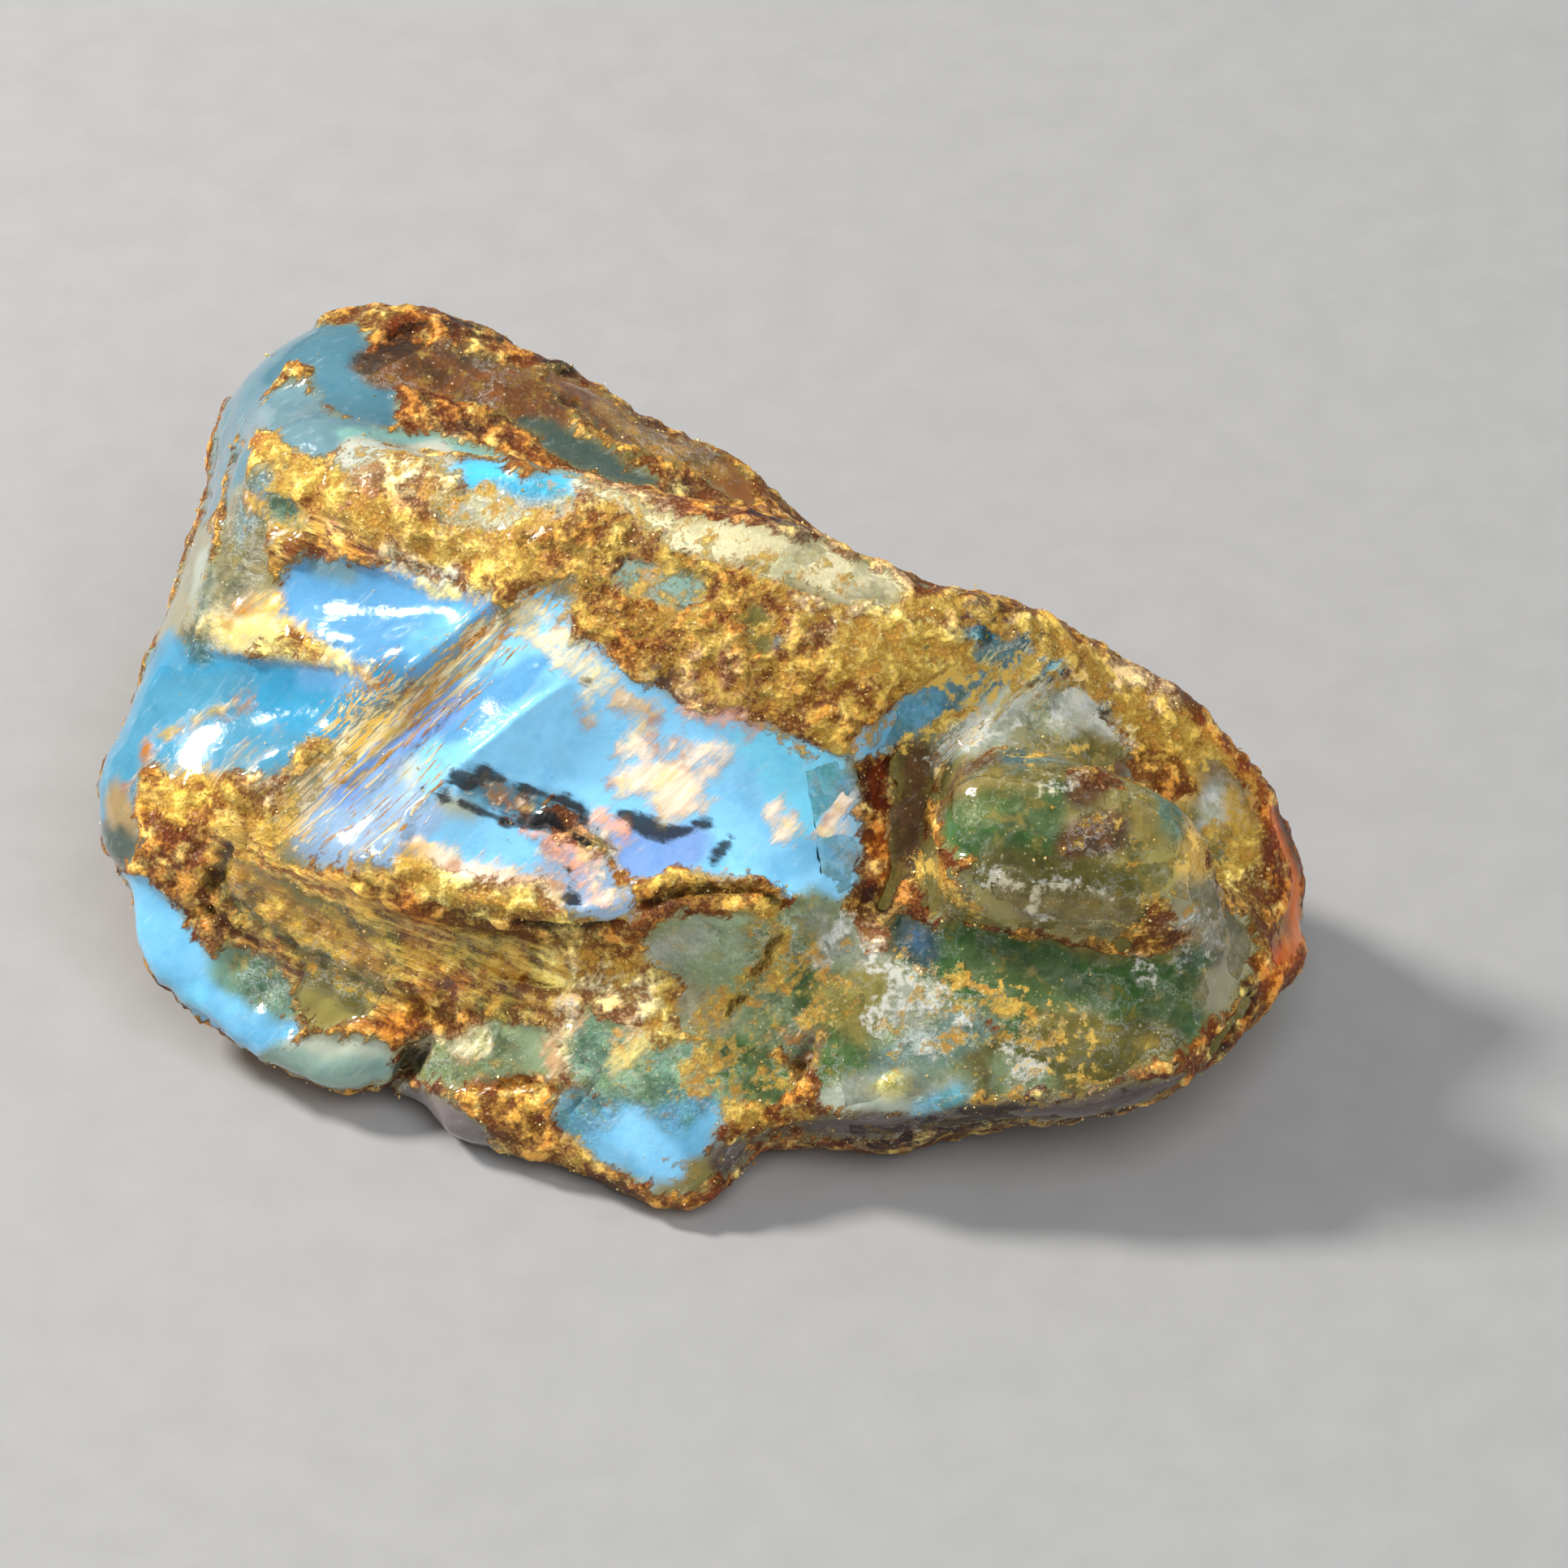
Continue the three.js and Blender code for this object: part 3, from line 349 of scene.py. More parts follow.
# Colours of the crust, laid over one another in this order, as (name, colour, path).
CRUST_TINTS = (
    ("lobe gold", "sienna", ((-13.5, 35, 1.1), (-11, 35, 1.3), (-9, 34.5, 0.9))),
    ("lobe dark", "rust", ((-13, 38.5, 1), (-15.5, 36.5, 1.1), (-14.5, 35.5, 0.6))),
    ("lobe far rim", "soil", ((-11.5, 39, 0.6), (-8.5, 37.5, 0.7), (-6.5, 36, 0.6))),
    ("lobe foot", "umber", ((-14.5, 33.5, 0.5), (-11.5, 32.5, 0.6), (-8.5, 31.5, 0.4))),
    ("valley", "rust", ((-6, 29, 0.5), (-3, 27, 0.6), (0, 25.5, 0.5), (3.5, 24, 0.5))),
    ("far edge", "honey", ((-4.5, 33.5, 0.8), (-2.5, 31.5, 1), (0, 30.5, 1.1), (2, 28.5, 0.8))),
    # Painted shade in the valley behind the ridge.
    ("far edge low", "dusky", ((-1, 28, 0.7), (2.5, 25.5, 0.7), (5.5, 24.5, 0.5))),
    ("ridge cream", "bone", ((-5.5, 28, 0.6), (-3.5, 27, 0.7), (-1.5, 25.5, 0.8))),
    ("ridge cream long", "bone", ((1, 24, 0.4), (3.5, 23.5, 0.7), (7.5, 21.5, 0.8), (9, 21.5, 0.5))),
    ("ridge red line", "rust", ((-0.5, 23, 0.2), (2.5, 22.5, 0.2), (5, 21, 0.2), (7.5, 19.5, 0.3))),
    ("golden band", "amber",
     ((-20.5, 31, 0.8), (-17, 27, 1.2), (-14.5, 24.5, 1.2), (-10, 23, 1.1), (-7.5, 23, 0.7))),
    ("band upper", "cream", ((-16, 29.5, 0.6), (-14, 30, 0.9), (-12, 28.5, 1))),
    ("band cream", "cream", ((-16, 28.5, 0.6), (-15, 25.5, 0.5), (-14, 24, 0.5))),
    ("band cream right", "cream", ((-11.5, 30.5, 0.5), (-11, 25.5, 0.6), (-9, 24, 0.5))),
    ("band rust", "salmon", ((-16, 26, 0.6), (-14, 25.5, 0.5))),
    ("band dark spot", "umber", ((-19.5, 29, 0.4),)),
    ("crust rust", "honey", ((-7.5, 24, 0.6), (-6, 24.5, 1.1), (-3.5, 24.5, 0.7))),
    ("crust olive", "olive", ((-4.5, 22, 0.9), (-2, 23, 0.8), (-0.5, 21.5, 0.8))),
    ("crust grey", "slate", ((-3, 22, 0.6),)),
    ("crust sea", "sea", ((3, 17.5, 0.6), (-1, 16, 0.7))),
    ("crust brown", "russet", ((-3, 19, 1.3), (1.5, 18, 1.1), (2.5, 15.5, 1))),
    ("crust rust centre", "russet", ((-3.5, 20, 0.8), (-1.5, 17.5, 1), (1, 15.5, 1))),
    ("crust pink", "bone", ((5, 20.5, 1.1), (8, 19, 0.8))),
    ("crust pink low", "bone", ((0.5, 15.5, 0.9), (2, 14.5, 0.6))),
    ("crust gold right", "lemon", ((7.5, 17, 1), (9.5, 18, 0.9), (11, 17.5, 1.3))),
    ("crust low right", "honey", ((5, 14.5, 1.4), (7, 13.5, 1.3))),
    ("fan cream", "lemon", ((11.5, 13, 0.8), (13, 14.5, 0.9), (14.5, 16.5, 0.9), (16, 17.5, 0.6))),
    ("top right", "gold", ((15.5, 18, 0.8), (18, 15.5, 1.1), (20.5, 13, 1.1), (23, 10.5, 1))),
    ("top right teal", "sea", ((12.5, 18.5, 0.5), (15, 17.5, 0.6), (18, 14, 0.5))),
    ("top right bone", "bone", ((17, 14.5, 0.5), (19.5, 16, 0.5), (21, 14, 0.6))),
    ("ochre band", "ochre",
     ((-6, 22.5, 0.7), (-9, 19.5, 0.8), (-11.5, 15.5, 0.8), (-16.5, 11, 1.3), (-19, 9, 1.2))),
    ("ochre lilac", "bone", ((-16, 8.5, 0.9), (-18, 7, 0.9), (-20, 9, 0.6))),
    ("ochre bright", "gold", ((-13, 14, 0.4), (-15, 12, 0.5), (-16, 10, 0.6))),
    ("scoop lip", "chalk", ((-13.5, 22.5, 0.4), (-12.5, 21.5, 0.5), (-11, 21.5, 0.4))),
    ("nose gold", "gold", ((-25, 8, 0.8), (-22.5, 7.5, 1), (-19.5, 5, 0.8))),
    ("wet pit", "umber", ((-23.5, 0, 0.7), (-22.5, 0.5, 0.6), (-22, 4, 0.4))),
    ("wet honey", "honey", ((-21, 4, 1.1), (-19, 2.5, 1.1), (-19.5, 0.5, 1))),
    ("wet olive", "olive", ((-18, 0, 1.3), (-16.5, -2.5, 1.3), (-14.5, -3.5, 1.1))),
    ("wet moss", "moss", ((-17, -3.5, 0.6), (-15.5, 0, 0.6), (-13.5, -2, 0.6))),
    ("low amber", "amber", ((-18, 2.5, 0.7), (-15.5, 2, 0.8), (-13.5, 1, 0.5))),
    ("plate foot", "lemon", ((-13, 2, 0.4), (-10, 1.5, 0.4), (-6.5, 0, 0.4), (-3.5, 0.5, 0.3))),
    ("fibrous orange", "flame", ((-13, 1.5, 0.4), (-12, -3, 0.7), (-13.5, -7, 0.7))),
    ("fibrous umber", "russet", ((-11, -5, 0.7), (-9, -4, 0.6), (-7.5, -1.5, 0.5))),
    ("fibrous olive", "olive", ((-9, -5.5, 1.1), (-7.5, -3.5, 1), (-6, -3.5, 0.8))),
    ("fibrous olive mid", "olive", ((-11, -1.5, 0.9), (-8, -2.5, 1))),
    ("fibrous olive left", "olive", ((-15.5, -1, 0.6), (-12.5, -5, 0.5))),
    ("cream patch", "lemon", ((-5.5, -3, 1.3), (-3, -4, 1.3), (-2.5, -7.5, 1.2), (-6, -6.5, 1.1))),
    ("cream patch middle", "cream", ((-5, -3.5, 0.8), (-3, -5, 0.9), (-3.5, -7, 0.7))),
    ("cream patch low", "bone", ((-7.5, -8.5, 0.7), (-3.5, -9, 0.6))),
    ("notch", "umber", ((-12.5, -8, 0.4), (-13.5, -10, 0.7), (-14, -11.5, 0.5))),
    ("lower lip", "lilacgrey", ((-12.5, -12, 0.8), (-11, -14, 0.9), (-8, -15.5, 0.8))),
    ("notch orange", "honey", ((-9.5, -11.5, 0.7), (-8, -11, 0.8), (-7.5, -13.5, 0.8))),
    ("crack lip", "gold",
     ((-2.5, 2.5, 0.3), (0.5, 2.4, 0.4), (3.5, 1.5, 0.4), (3.5, -1.5, 0.4), (1.5, -5.5, 0.4))),
    ("crack line", "umber", ((-2.5, 1, 0.1), (-0.5, 2, 0.1), (2.5, 2, 0.1), (4, 1.5, 0.1))),
    ("mottle olive", "olive", ((5, -5.5, 0.9), (7.5, -7, 1), (8.5, -8, 0.8))),
    ("mottle rust", "rust", ((4, -4, 0.3), (7, -3.5, 0.4), (8, -4.5, 0.4))),
    ("mottle moss", "moss", ((0.5, -10.5, 0.6), (1.5, -9, 0.8), (3, -10.5, 0.7))),
    ("mottle pit right", "umber", ((13, -9, 0.5),)),
    ("mottle bone", "bone", ((7.5, -1.5, 0.7), (9.5, -4, 0.8))),
    ("mottle bone right", "bone", ((14.5, -9, 0.9),)),
    ("yellow bead", "canary", ((8.5, -10.5, 0.6),)),
    ("rim tan", "mauve", ((13.5, -11, 0.6), (16.5, -11, 0.7), (19.5, -10, 0.6))),
    # Painted shade on the underside rim, over its mauve-brown colour.
    ("underside rim", "dusky",
     ((1, -16, 0.9), (3.5, -14.5, 1), (10.5, -13.5, 1), (18, -12.5, 0.9), (21.5, -10.5, 0.8))),
    ("knob margin", "umber", ((9.5, 3.5, 0.6), (9.5, 1.5, 0.7), (10.5, 0, 0.6))),
    ("knob grains", "gold", ((10.5, 3.5, 0.6), (11, 2, 0.7), (12.5, 0.5, 0.6))),
    ("knob blob", "lemon", ((24, 5, 0.5), (25, 4.5, 0.6), (23.5, 2.5, 0.5))),
    ("band shade", "umber", ((14, -1, 0.3), (17.5, -2, 0.3))),
    # Painted shade: the shaded lower right and the crevice are painted dark red and blackish brown.
    ("right dark", "soil", ((25, -5.5, 0.6), (23.5, -8.5, 0.6))),
    ("crevice rust", "garnet", ((8, 9.5, 0.7), (8.5, 5.5, 0.9), (8, 2.5, 0.8))),
    ("crevice dark", "soil", ((9.5, 10.5, 0.3), (9.5, 7.5, 0.3), (9, 3.5, 0.3), (8.5, 1, 0.4))),
    ("right rim", "rust",
     ((23, 12.5, 0.3), (25.5, 8.5, 0.5), (26.5, 5.5, 0.7), (27, -1.5, 0.9), (26, -3.5, 0.8))),
    ("right rim shade", "ember", ((27, 5, 0.3), (27.5, 1, 0.4), (27, -2.5, 0.4))),
)

# Where the crust shines gold.
GOLD = (
    ("band", 0.3, ((-20, 31.5, 0.4), (-19, 29.5, 0.8), (-16, 26.5, 1), (-13, 24.5, 1), (-7.5, 23, 0.7))),
    ("band upper", -0.1, ((-16, 29.5, 0.4), (-14, 30, 0.7), (-12, 28.5, 0.8), (-12.5, 27, 0.7))),
    ("ochre band", -0.1, ((-16.5, 11, 0.7), (-19, 8, 0.7), (-19.5, 7, 0.7))),
    ("crust", -0.05, ((-5, 21.5, 1.9), (-1.5, 19.5, 2.6), (2, 18, 3), (5.5, 15.5, 3.3), (7.5, 14.5, 2.6))),
    ("crust right", 0.5, ((7.5, 17, 1.5), (10, 17, 1.5), (11.5, 16, 1.3))),
    ("top", 0.3, ((9.5, 20, 0.4), (12.5, 19.5, 0.4), (16, 18.5, 0.4))),
    ("fan", 0.3, ((9.5, 11, 0.4), (11.5, 13, 0.5), (13, 15, 0.6), (15, 16.5, 0.6), (16.5, 17.5, 0.6))),
    ("top right", 0.3, ((15.5, 18, 0.7), (18, 15.5, 1.1), (20.5, 13, 1), (23, 10.5, 0.9))),
    ("nose", 0.1, ((-25, 8, 0.9), (-22.5, 7.5, 1), (-19.5, 5, 0.9))),
    ("wet side", -0.1, ((-21, 2.5, 2.2), (-18, 0, 1.9), (-14.5, -2.5, 1.9))),
    ("plate foot", 0.3, ((-15.5, 3.5, 0.4), (-12.5, 2.5, 0.5), (-9.5, 1, 0.4), (-6, 0.5, 0.3))),
    ("fibrous side", -0.1, ((-11, -2.5, 1.9), (-8, -4.5, 1.5), (-6, -2.5, 1.1))),
    ("cream patch", -0.2, ((-6.5, -2.5, 0.7), (-3.5, -3, 1), (-2, -5, 1), (-2.5, -8.5, 0.8))),
    ("crack lip", 0.5,
     ((-2.5, 2.5, 0.2), (0.5, 2.4, 0.3), (3.5, 1.4, 0.4), (3.5, -1.5, 0.3), (1.5, -5.5, 0.4))),
    ("mottle", -0.25, ((1.5, -9, 1.5), (5, -5.5, 2.2), (9, -5.5, 2.6), (14.5, -9, 2.2))),
    ("mottle low", 0.15,
     ((1, -5.5, 0.4), (0.5, -8, 0.6), (0, -10.5, 0.6), (2, -12.5, 0.5), (5, -12.5, 0.4))),
    ("knob left", 0.5, ((10, 4, 0.6), (11, 2.5, 0.7), (12, 0.5, 0.6))),
    ("knob blob", 0.8, ((24, 5.5, 0.6), (25, 4.5, 0.7), (23.5, 2.5, 0.5))),
    ("knob speck", -0.35, ((18, 3.5, 2.6), (21.5, 3, 2.2))),
    ("knob top", 0.2, ((14.5, 10.5, 0.3), (17.5, 11, 0.4), (18.5, 10, 0.3))),
    ("green band", 0.2, ((11.5, -3.5, 0.3), (14, -4.5, 0.4), (15, -6, 0.4), (13, -5.5, 0.3))),
    ("green band strands", 0, ((16, -5, 0.5), (17.5, -7.5, 0.6), (14.5, -8, 0.7), (17.5, -9.5, 0.5))),
    ("rim", 0, ((23.5, 11.5, 0.4), (25.5, 9, 0.4))),
    ("toe", -0.1, ((-7.5, -13.5, 0.5), (-6, -15, 1))),
    ("toe tip", -0.1, ((-1, -16, 0.5),)),
    ("ridge", -0.2, ((-6, 28, 0.5), (-3, 25.5, 0.7), (-0.5, 24, 0.4), (3.5, 22.5, 0.4), (7.5, 20.5, 0.4))),
    ("ridge pale", 0, ((-11, 27, 0.7), (-8, 25.5, 0.7), (-6, 26, 0.6))),
)

# Cracks and pits, sunk into the relief and darkened with painted shade.
HOLLOWS = (
    ("under the band", -0.15, ((-7.5, 24, 0.4), (-5, 24, 0.5), (-3, 24.5, 0.4))),
    ("crust pits", -0.25, ((-3.5, 19, 1.1), (-1, 17.5, 1.1), (1.5, 18, 1.1), (2.5, 15.5, 1))),
    ("crevice", 0.5, ((9.5, 9.5, 0.3), (9.5, 7.5, 0.3), (9, 3.5, 0.3), (8.5, 1, 0.3))),
    ("crevice pit", 1, ((7, 9, 0.4),)),
    ("crevice low pit", 1, ((6.5, 4, 0.7),)),
    ("crack", 1, ((-2.5, 1, 0.1), (-0.5, 2, 0.12), (2.5, 2, 0.12), (3.8, 1.4, 0.1))),
    ("crack side", -0.05, ((3.8, 1.4, 0.12), (3.5, -1.5, 0.12), (1.5, -6, 0.1))),
    ("step shade", 0.3, ((-8, -0.5, 0.2), (-6, -0.5, 0.2), (-3.5, -0.5, 0.2))),
    ("wet seam", 0.2, ((-21.5, 4.5, 0.2), (-22.5, 2, 0.2))),
    ("notch", 0.4, ((-12.5, -8, 0.3), (-13.5, -10, 0.4), (-14.5, -11.5, 0.3))),
    ("mottle pit", 0, ((4.5, -9.5, 0.4), (5, -8, 0.2))),
    ("mottle pit right", 0.3, ((13, -9, 0.4),)),
    ("band line", 0.1, ((14, -1, 0.2), (17.5, -2, 0.2), (19.5, -2.5, 0.1))),
    ("knob crack", 1, ((19, -1.5, 0.3), (19.5, -4.5, 0.3), (19.5, -8, 0.3))),
    ("right dark", 0.2, ((25, -5.5, 0.3), (23.5, -8, 0.4))),
    ("lobe dark", 0, ((-15.5, 36.5, 0.7), (-13, 38.5, 0.7))),
    ("lobe end", 0, ((-6, 34, 0.3),)),
    ("knob rim", 0.1, ((10.5, 12, 0.2), (9, 10, 0.2), (10, 7.5, 0.2))),
)

# Pale frosted grains.
FROST = (
    ("knob", 0.1, ((12.5, 3, 0.2), (14, 2.5, 0.3), (17.5, 2, 0.3), (18.5, 1, 0.2))),
    ("knob foot", 0.1, ((15, 1, 0.3), (15.5, 0, 0.3))),
    ("knob middle", 0.1, ((15.5, 8.5, 0.3), (17, 9, 0.3))),
    ("knob top", 0.3, ((16, 12.5, 0.3), (17, 14.5, 0.4), (17.5, 13, 0.3), (19.5, 12, 0.3))),
    ("right", 0.3, ((21, -0.5, 0.4), (23, 0, 0.6), (23.5, -1.5, 0.4), (22, -2.5, 0.3))),
    ("right low", 0.1, ((20, -2.5, 0.4), (20.5, -4, 0.4))),
    ("fan", 0, ((10.5, 10, 0.4), (12.5, 12, 0.5), (14.5, 13, 0.5))),
    ("mottle left", 0.1, ((5.5, -2.5, 0.4), (7, 0, 0.3))),
    ("mottle", 0.2, ((7.5, -1.5, 0.5), (8, -3, 0.4), (10, -4, 0.5))),
    ("mottle middle", 0.1, ((8, -6, 0.6), (10.5, -4.5, 0.7), (11.5, -6.5, 0.7), (10, -8, 0.7))),
    ("mottle right", 0.3, ((14, -8, 0.5), (15.5, -9, 0.4), (14.5, -10, 0.4))),
    ("patch left", 0, ((-6, -6, 0.5),)),
    ("patch", 0, ((-2.5, -7, 0.4),)),
)

# Thin edges with a painted dark red glow, in place of light that passes through them.
GLOW = (
    ("right rim", 1,
     ((23, 12.5, 0.2), (25.5, 9, 0.3), (26.5, 5.5, 0.4), (27.5, 2, 0.5), (27.5, -1.5, 0.6), (26, -3.5, 0.6))),
    ("step", 1, ((-3.5, -0.5, 0.1), (-2.5, 0.5, 0.2))),
    ("foot", 0.6, ((11.5, -14.5, 0.1), (13.5, -13.5, 0.1), (15, -13, 0.1))),
    ("toe", 0.6, ((1.5, -17, 0.2), (0.5, -17.5, 0.2))),
    ("crevice", 0, ((8, 9.5, 0.3), (8.5, 5.5, 0.4), (8, 3, 0.3))),
)

# Amber clear enough to see into.
CLEAR = (
    ("knob", 1, ((12, 7.5, 1.1), (14, 7.5, 1.4), (16.5, 7, 1))),
    ("knob right", 1, ((19.5, 6.5, 0.8), (21, 5.5, 0.7))),
    ("knob foot", 0.3, ((14, 2, 0.8), (17, 1, 0.9), (19.5, 0.5, 0.7))),
    ("green band", 1, ((13, -2.5, 1), (15.5, -4, 1.3), (18, -5, 1.1))),
    ("green band right", 1, ((20.5, -5.5, 1), (22.5, -4.5, 0.9))),
    ("right rim", 1, ((26.5, 6.5, 0.4), (27.5, 3, 0.6), (27.5, 0, 0.7), (26.5, -2.5, 0.6))),
)

# Crust that lies in fine wet layers.
WET = (
    ("left side", 1,
     ((-21, 4, 1.9), (-18, 1.5, 2.1), (-15, -0.5, 2.2), (-11, -2.5, 2.1), (-7.5, -3.5, 1.7))),
    ("left foot", 1, ((-19.5, -2.5, 1.9), (-15, -5, 1.5))),
    ("scoops", 1, ((-23, 23, 2.2), (-17, 22.5, 3), (-21, 14.5, 3), (-25.5, 10, 2.2))),
)

# Wet beads on the crust.
BEADS = (
    ("left side", 0.6, ((-22.5, 3.5, 1.5), (-20.5, 0.5, 1.9), (-18, -2, 1.9), (-16, -4.5, 1.5))),
    ("left foot", 0.4, ((-21, -4.5, 1.1), (-17, -8, 0.7))),
    ("low crust", 0.4, ((-18, 2, 0.7), (-15, 1.5, 0.7))),
)

# Ribs and grooves too narrow for the CAD model, as (name, rise, path). Rise is in mm, below 0 for a groove.
CREASES = (
    ("face ridge", 0.4, ((-6, 15, 0.3), (-8, 13, 0.4), (-11, 9.5, 0.4), (-13, 7, 0.5), (-13.5, 4.5, 0.4))),
    ("soot groove", -0.3, ((-10.5, 9, 0.4), (-8, 6.5, 0.4), (-6, 5.5, 0.4))),
    ("lens edge", 0.25, ((-7.5, 5.5, 0.3), (-6, 4.5, 0.4), (-3.5, 1.5, 0.4))),
    ("ledge lip", 0.3, ((-15.5, 4, 0.4), (-13, 3.5, 0.4), (-11, 1.5, 0.4), (-6, 0.5, 0.4), (-3.5, 1, 0.4))),
    ("under the ledge", -0.35, ((-15.5, 2.5, 0.4), (-11, 0.5, 0.4), (-6, -1, 0.4), (-3.5, -0.5, 0.4))),
    ("main crack", -0.35,
     ((-2.5, 1, 0.2), (-0.5, 2, 0.2), (2.5, 2, 0.2), (4, 1.5, 0.2), (3.5, -1.5, 0.2), (1.5, -6, 0.2))),
    ("crack lip", 0.2, ((-2.5, 2.5, 0.3), (0.5, 2.5, 0.4), (2.5, 2.5, 0.4), (4.5, 1.5, 0.4))),
    ("knob crack", -0.45, ((19, -1.5, 0.3), (19.5, -4.5, 0.3), (19.5, -8, 0.3))),
    ("band fold", -0.3, ((12.5, 0, 0.3), (16, -1.5, 0.3), (19.5, -3, 0.3))),
    ("fan rib", 0.2, ((13.5, 16, 0.3), (10.5, 10, 0.2))),
    ("fan rib middle", 0.2, ((15, 15.5, 0.3), (11.5, 10, 0.2))),
    ("fan rib right", 0.2, ((16.5, 15, 0.3), (13, 10.5, 0.2))),
    ("line under the crest", -0.25, ((-0.5, 23, 0.3), (2.5, 22.5, 0.3), (5, 21, 0.3), (7.5, 19.5, 0.3))),
    ("scoop lip", 0.25, ((-16, 23.5, 0.4), (-12.5, 21.5, 0.4), (-10, 21, 0.4))),
    ("scoop divide", 0.3, ((-13, 16, 0.4), (-10.5, 19, 0.4), (-8.5, 21, 0.4))),
    ("flank rib", 0.25, ((-14.5, 16.5, 0.4), (-17, 16.5, 0.4), (-19.5, 17, 0.5), (-23, 17.5, 0.4))),
    ("strand rib", 0.2, ((-9.5, 18, 0.3), (-13, 13.5, 0.3), (-16, 9, 0.3))),
    ("strand rib low", 0.2, ((-9, 17, 0.3), (-12, 12.5, 0.3), (-15, 8.5, 0.3))),
    ("notch", -0.8, ((-12.5, -8, 0.4), (-13.5, -10, 0.6), (-14.5, -11.5, 0.5))),
    ("crevice side", -0.5, ((9.5, 11, 0.3), (9.5, 7.5, 0.3), (9, 3.5, 0.3), (8.5, 1, 0.4))),
    ("crevice pit", -0.5, ((7, 10, 0.4), (7, 8.5, 0.4))),
    ("crevice low pit", -0.6, ((6.5, 4, 0.6),)),
    ("low pit", -0.5, ((13, -9, 0.5),)),
    ("yellow bead", 0.5, ((8.7, -10.4, 0.6),)),
    ("mottle pit", -0.5, ((4.5, -9.5, 0.5),)),
    ("wet pit", -0.6, ((-23.5, 0, 0.4), (-22.5, 0.5, 0.5))),
    ("plate seam", -0.3, ((-1, 1, 0.3), (1, -1, 0.3), (1, -3.5, 0.2))),
    ("toe fold", -0.3, ((-6.5, -8, 0.3), (-4.5, -10, 0.3), (-6, -12.5, 0.3))),
    ("ledge fold", -0.35, ((-11, -11, 0.4), (-8, -10.5, 0.4), (-6.5, -11, 0.3))),
)

# Sides whose rock lies in fine steps.
STRATA = (
    ("lower left", 1, ((-19.5, 0, 2.2), (-15, -3, 2.6), (-11, -4.5, 2.6), (-6.5, -5.5, 2.2))),
    ("nose", 0.6, ((-24, 7, 1.9), (-20.5, 5, 1.9))),
)

TINT_FADE = 0.6  # how far a window's colour fades out past its patch, in mm
CRUST_FADE = 1.1  # the same for the crust
FLAKE_FADE = 0.72  # the same for flakes
FAR = -2.0  # what a patch field holds away from every patch, in mm
REACH = 0.25  # how far the clean windows reach past their patches, in mm
FLOW = Vector((-0.72, -0.38, -0.58))  # the way the feathered streaks run down the front
LAYERS = Vector((0.93, -0.24, -0.28))  # the way the fine layers run along the foot
VIEW_SIDE = Vector((0.0, -0.7071, 0.7071))  # the side of the stone that the lists describe
ABOVE = 60.0  # from how far off a place on that side is looked up, in mm
LEAN = 13.0  # how much further up than back the stone's outline lies on that side, in mm
WHOLE = 1.0  # the cover of a patch that is filled
AMBER_IOR = 1.54
HEART_FINENESS = 0.4 * MM  # side of one small face of the cloudy heart
HEART_COVER = 0.10  # how far the heart lies under the skin where the amber is not clear, in mm
AIM = Vector((3.9, -4.5, 0.2))  # where the camera looks, from the middle of the stone, in mm
LENS = 176.1  # in mm, on a 36 mm sensor

# The planes past which the cloudy heart is cut off, as (a place on it in metres, the way that goes).
HEART_CUTS = (
    ((0.0075, 0, 0), (1, 0, 0.15)),
    ((0.0265, 0, 0), (-1, 0, 0)),
    ((0, 0.002, 0), (0, -1, 0)),
)


# ---------------------------------------------------------------- settings


def length(name, description, millimetres):
    """A setting that is a length."""
    return FloatProperty(
        name=name, description=description, default=millimetres * MM, unit="LENGTH", precision=5
    )


def paint(name, description, colour):
    """A setting that is a colour."""
    return FloatVectorProperty(
        name=name, description=description, subtype="COLOR", default=colour, min=0, max=1
    )


class NuggetForm(bpy.types.PropertyGroup):
    """How finely the stone is made and how high its relief stands."""

    fineness: length("Fineness", "Side of one small face of the surface", 0.27)
    crust_rise: length("Crust rise", "Height of the crust above the clean windows", 0.22)
    crust_grain: length("Crust grain", "Height of the grains on the crust", 0.42)
    bead_height: length("Bead height", "Height of the wet beads", 0.5)
    hollow_depth: length("Hollow depth", "Depth of cracks and pits", 0.55)


class NuggetFinish(bpy.types.PropertyGroup):
    """Colours and gloss of the skin and of the clear amber."""

    gold: paint("Gold", "Bright grains of the crust", (0.97, 0.64, 0.12))
    amber: paint("Amber", "Colour that the clear amber lets through", (0.98, 0.85, 0.40))
    density: FloatProperty(
        name="Density", description="How fast the clear amber darkens, per metre", default=400.0
    )
    # A painted glow: how strongly the windows and their flakes give off their own colour as light.
    shine: FloatProperty(name="Shine", description="Blue light that the windows give back", default=0.10)


class DustForm(bpy.types.PropertyGroup):
    """The golden dust that clings to the stone."""

    count: IntProperty(name="Grains", description="Number of grains", default=18000, min=1)
    size: length("Size", "Usual width of a grain", 0.11)


class StageForm(bpy.types.PropertyGroup):
    """Camera, lamps and floor."""

    elevation: FloatProperty(
        name="Elevation", description="Height of the camera above level", default=math.radians(45),
        subtype="ANGLE",
    )
    distance: FloatProperty(name="Distance", description="Camera to stone", default=0.35, unit="LENGTH")
    key: FloatProperty(
        name="Key lamp", description="Power of the lamp on the left", default=2.4, unit="POWER"
    )
    fill: FloatProperty(
        name="Fill lamp", description="Power of the broad lamp above", default=2.2, unit="POWER"
    )
    sky: FloatProperty(name="Room light", description="Even light from all round", default=0.28)
    floor: paint("Floor", "Colour of the floor", (0.38, 0.375, 0.37))


# ---------------------------------------------------------------- mesh helpers


def only(piece):
    """Selects one piece and makes it active."""
    bpy.ops.object.select_all(action="DESELECT")
    piece.select_set(True)
    bpy.context.view_layer.objects.active = piece


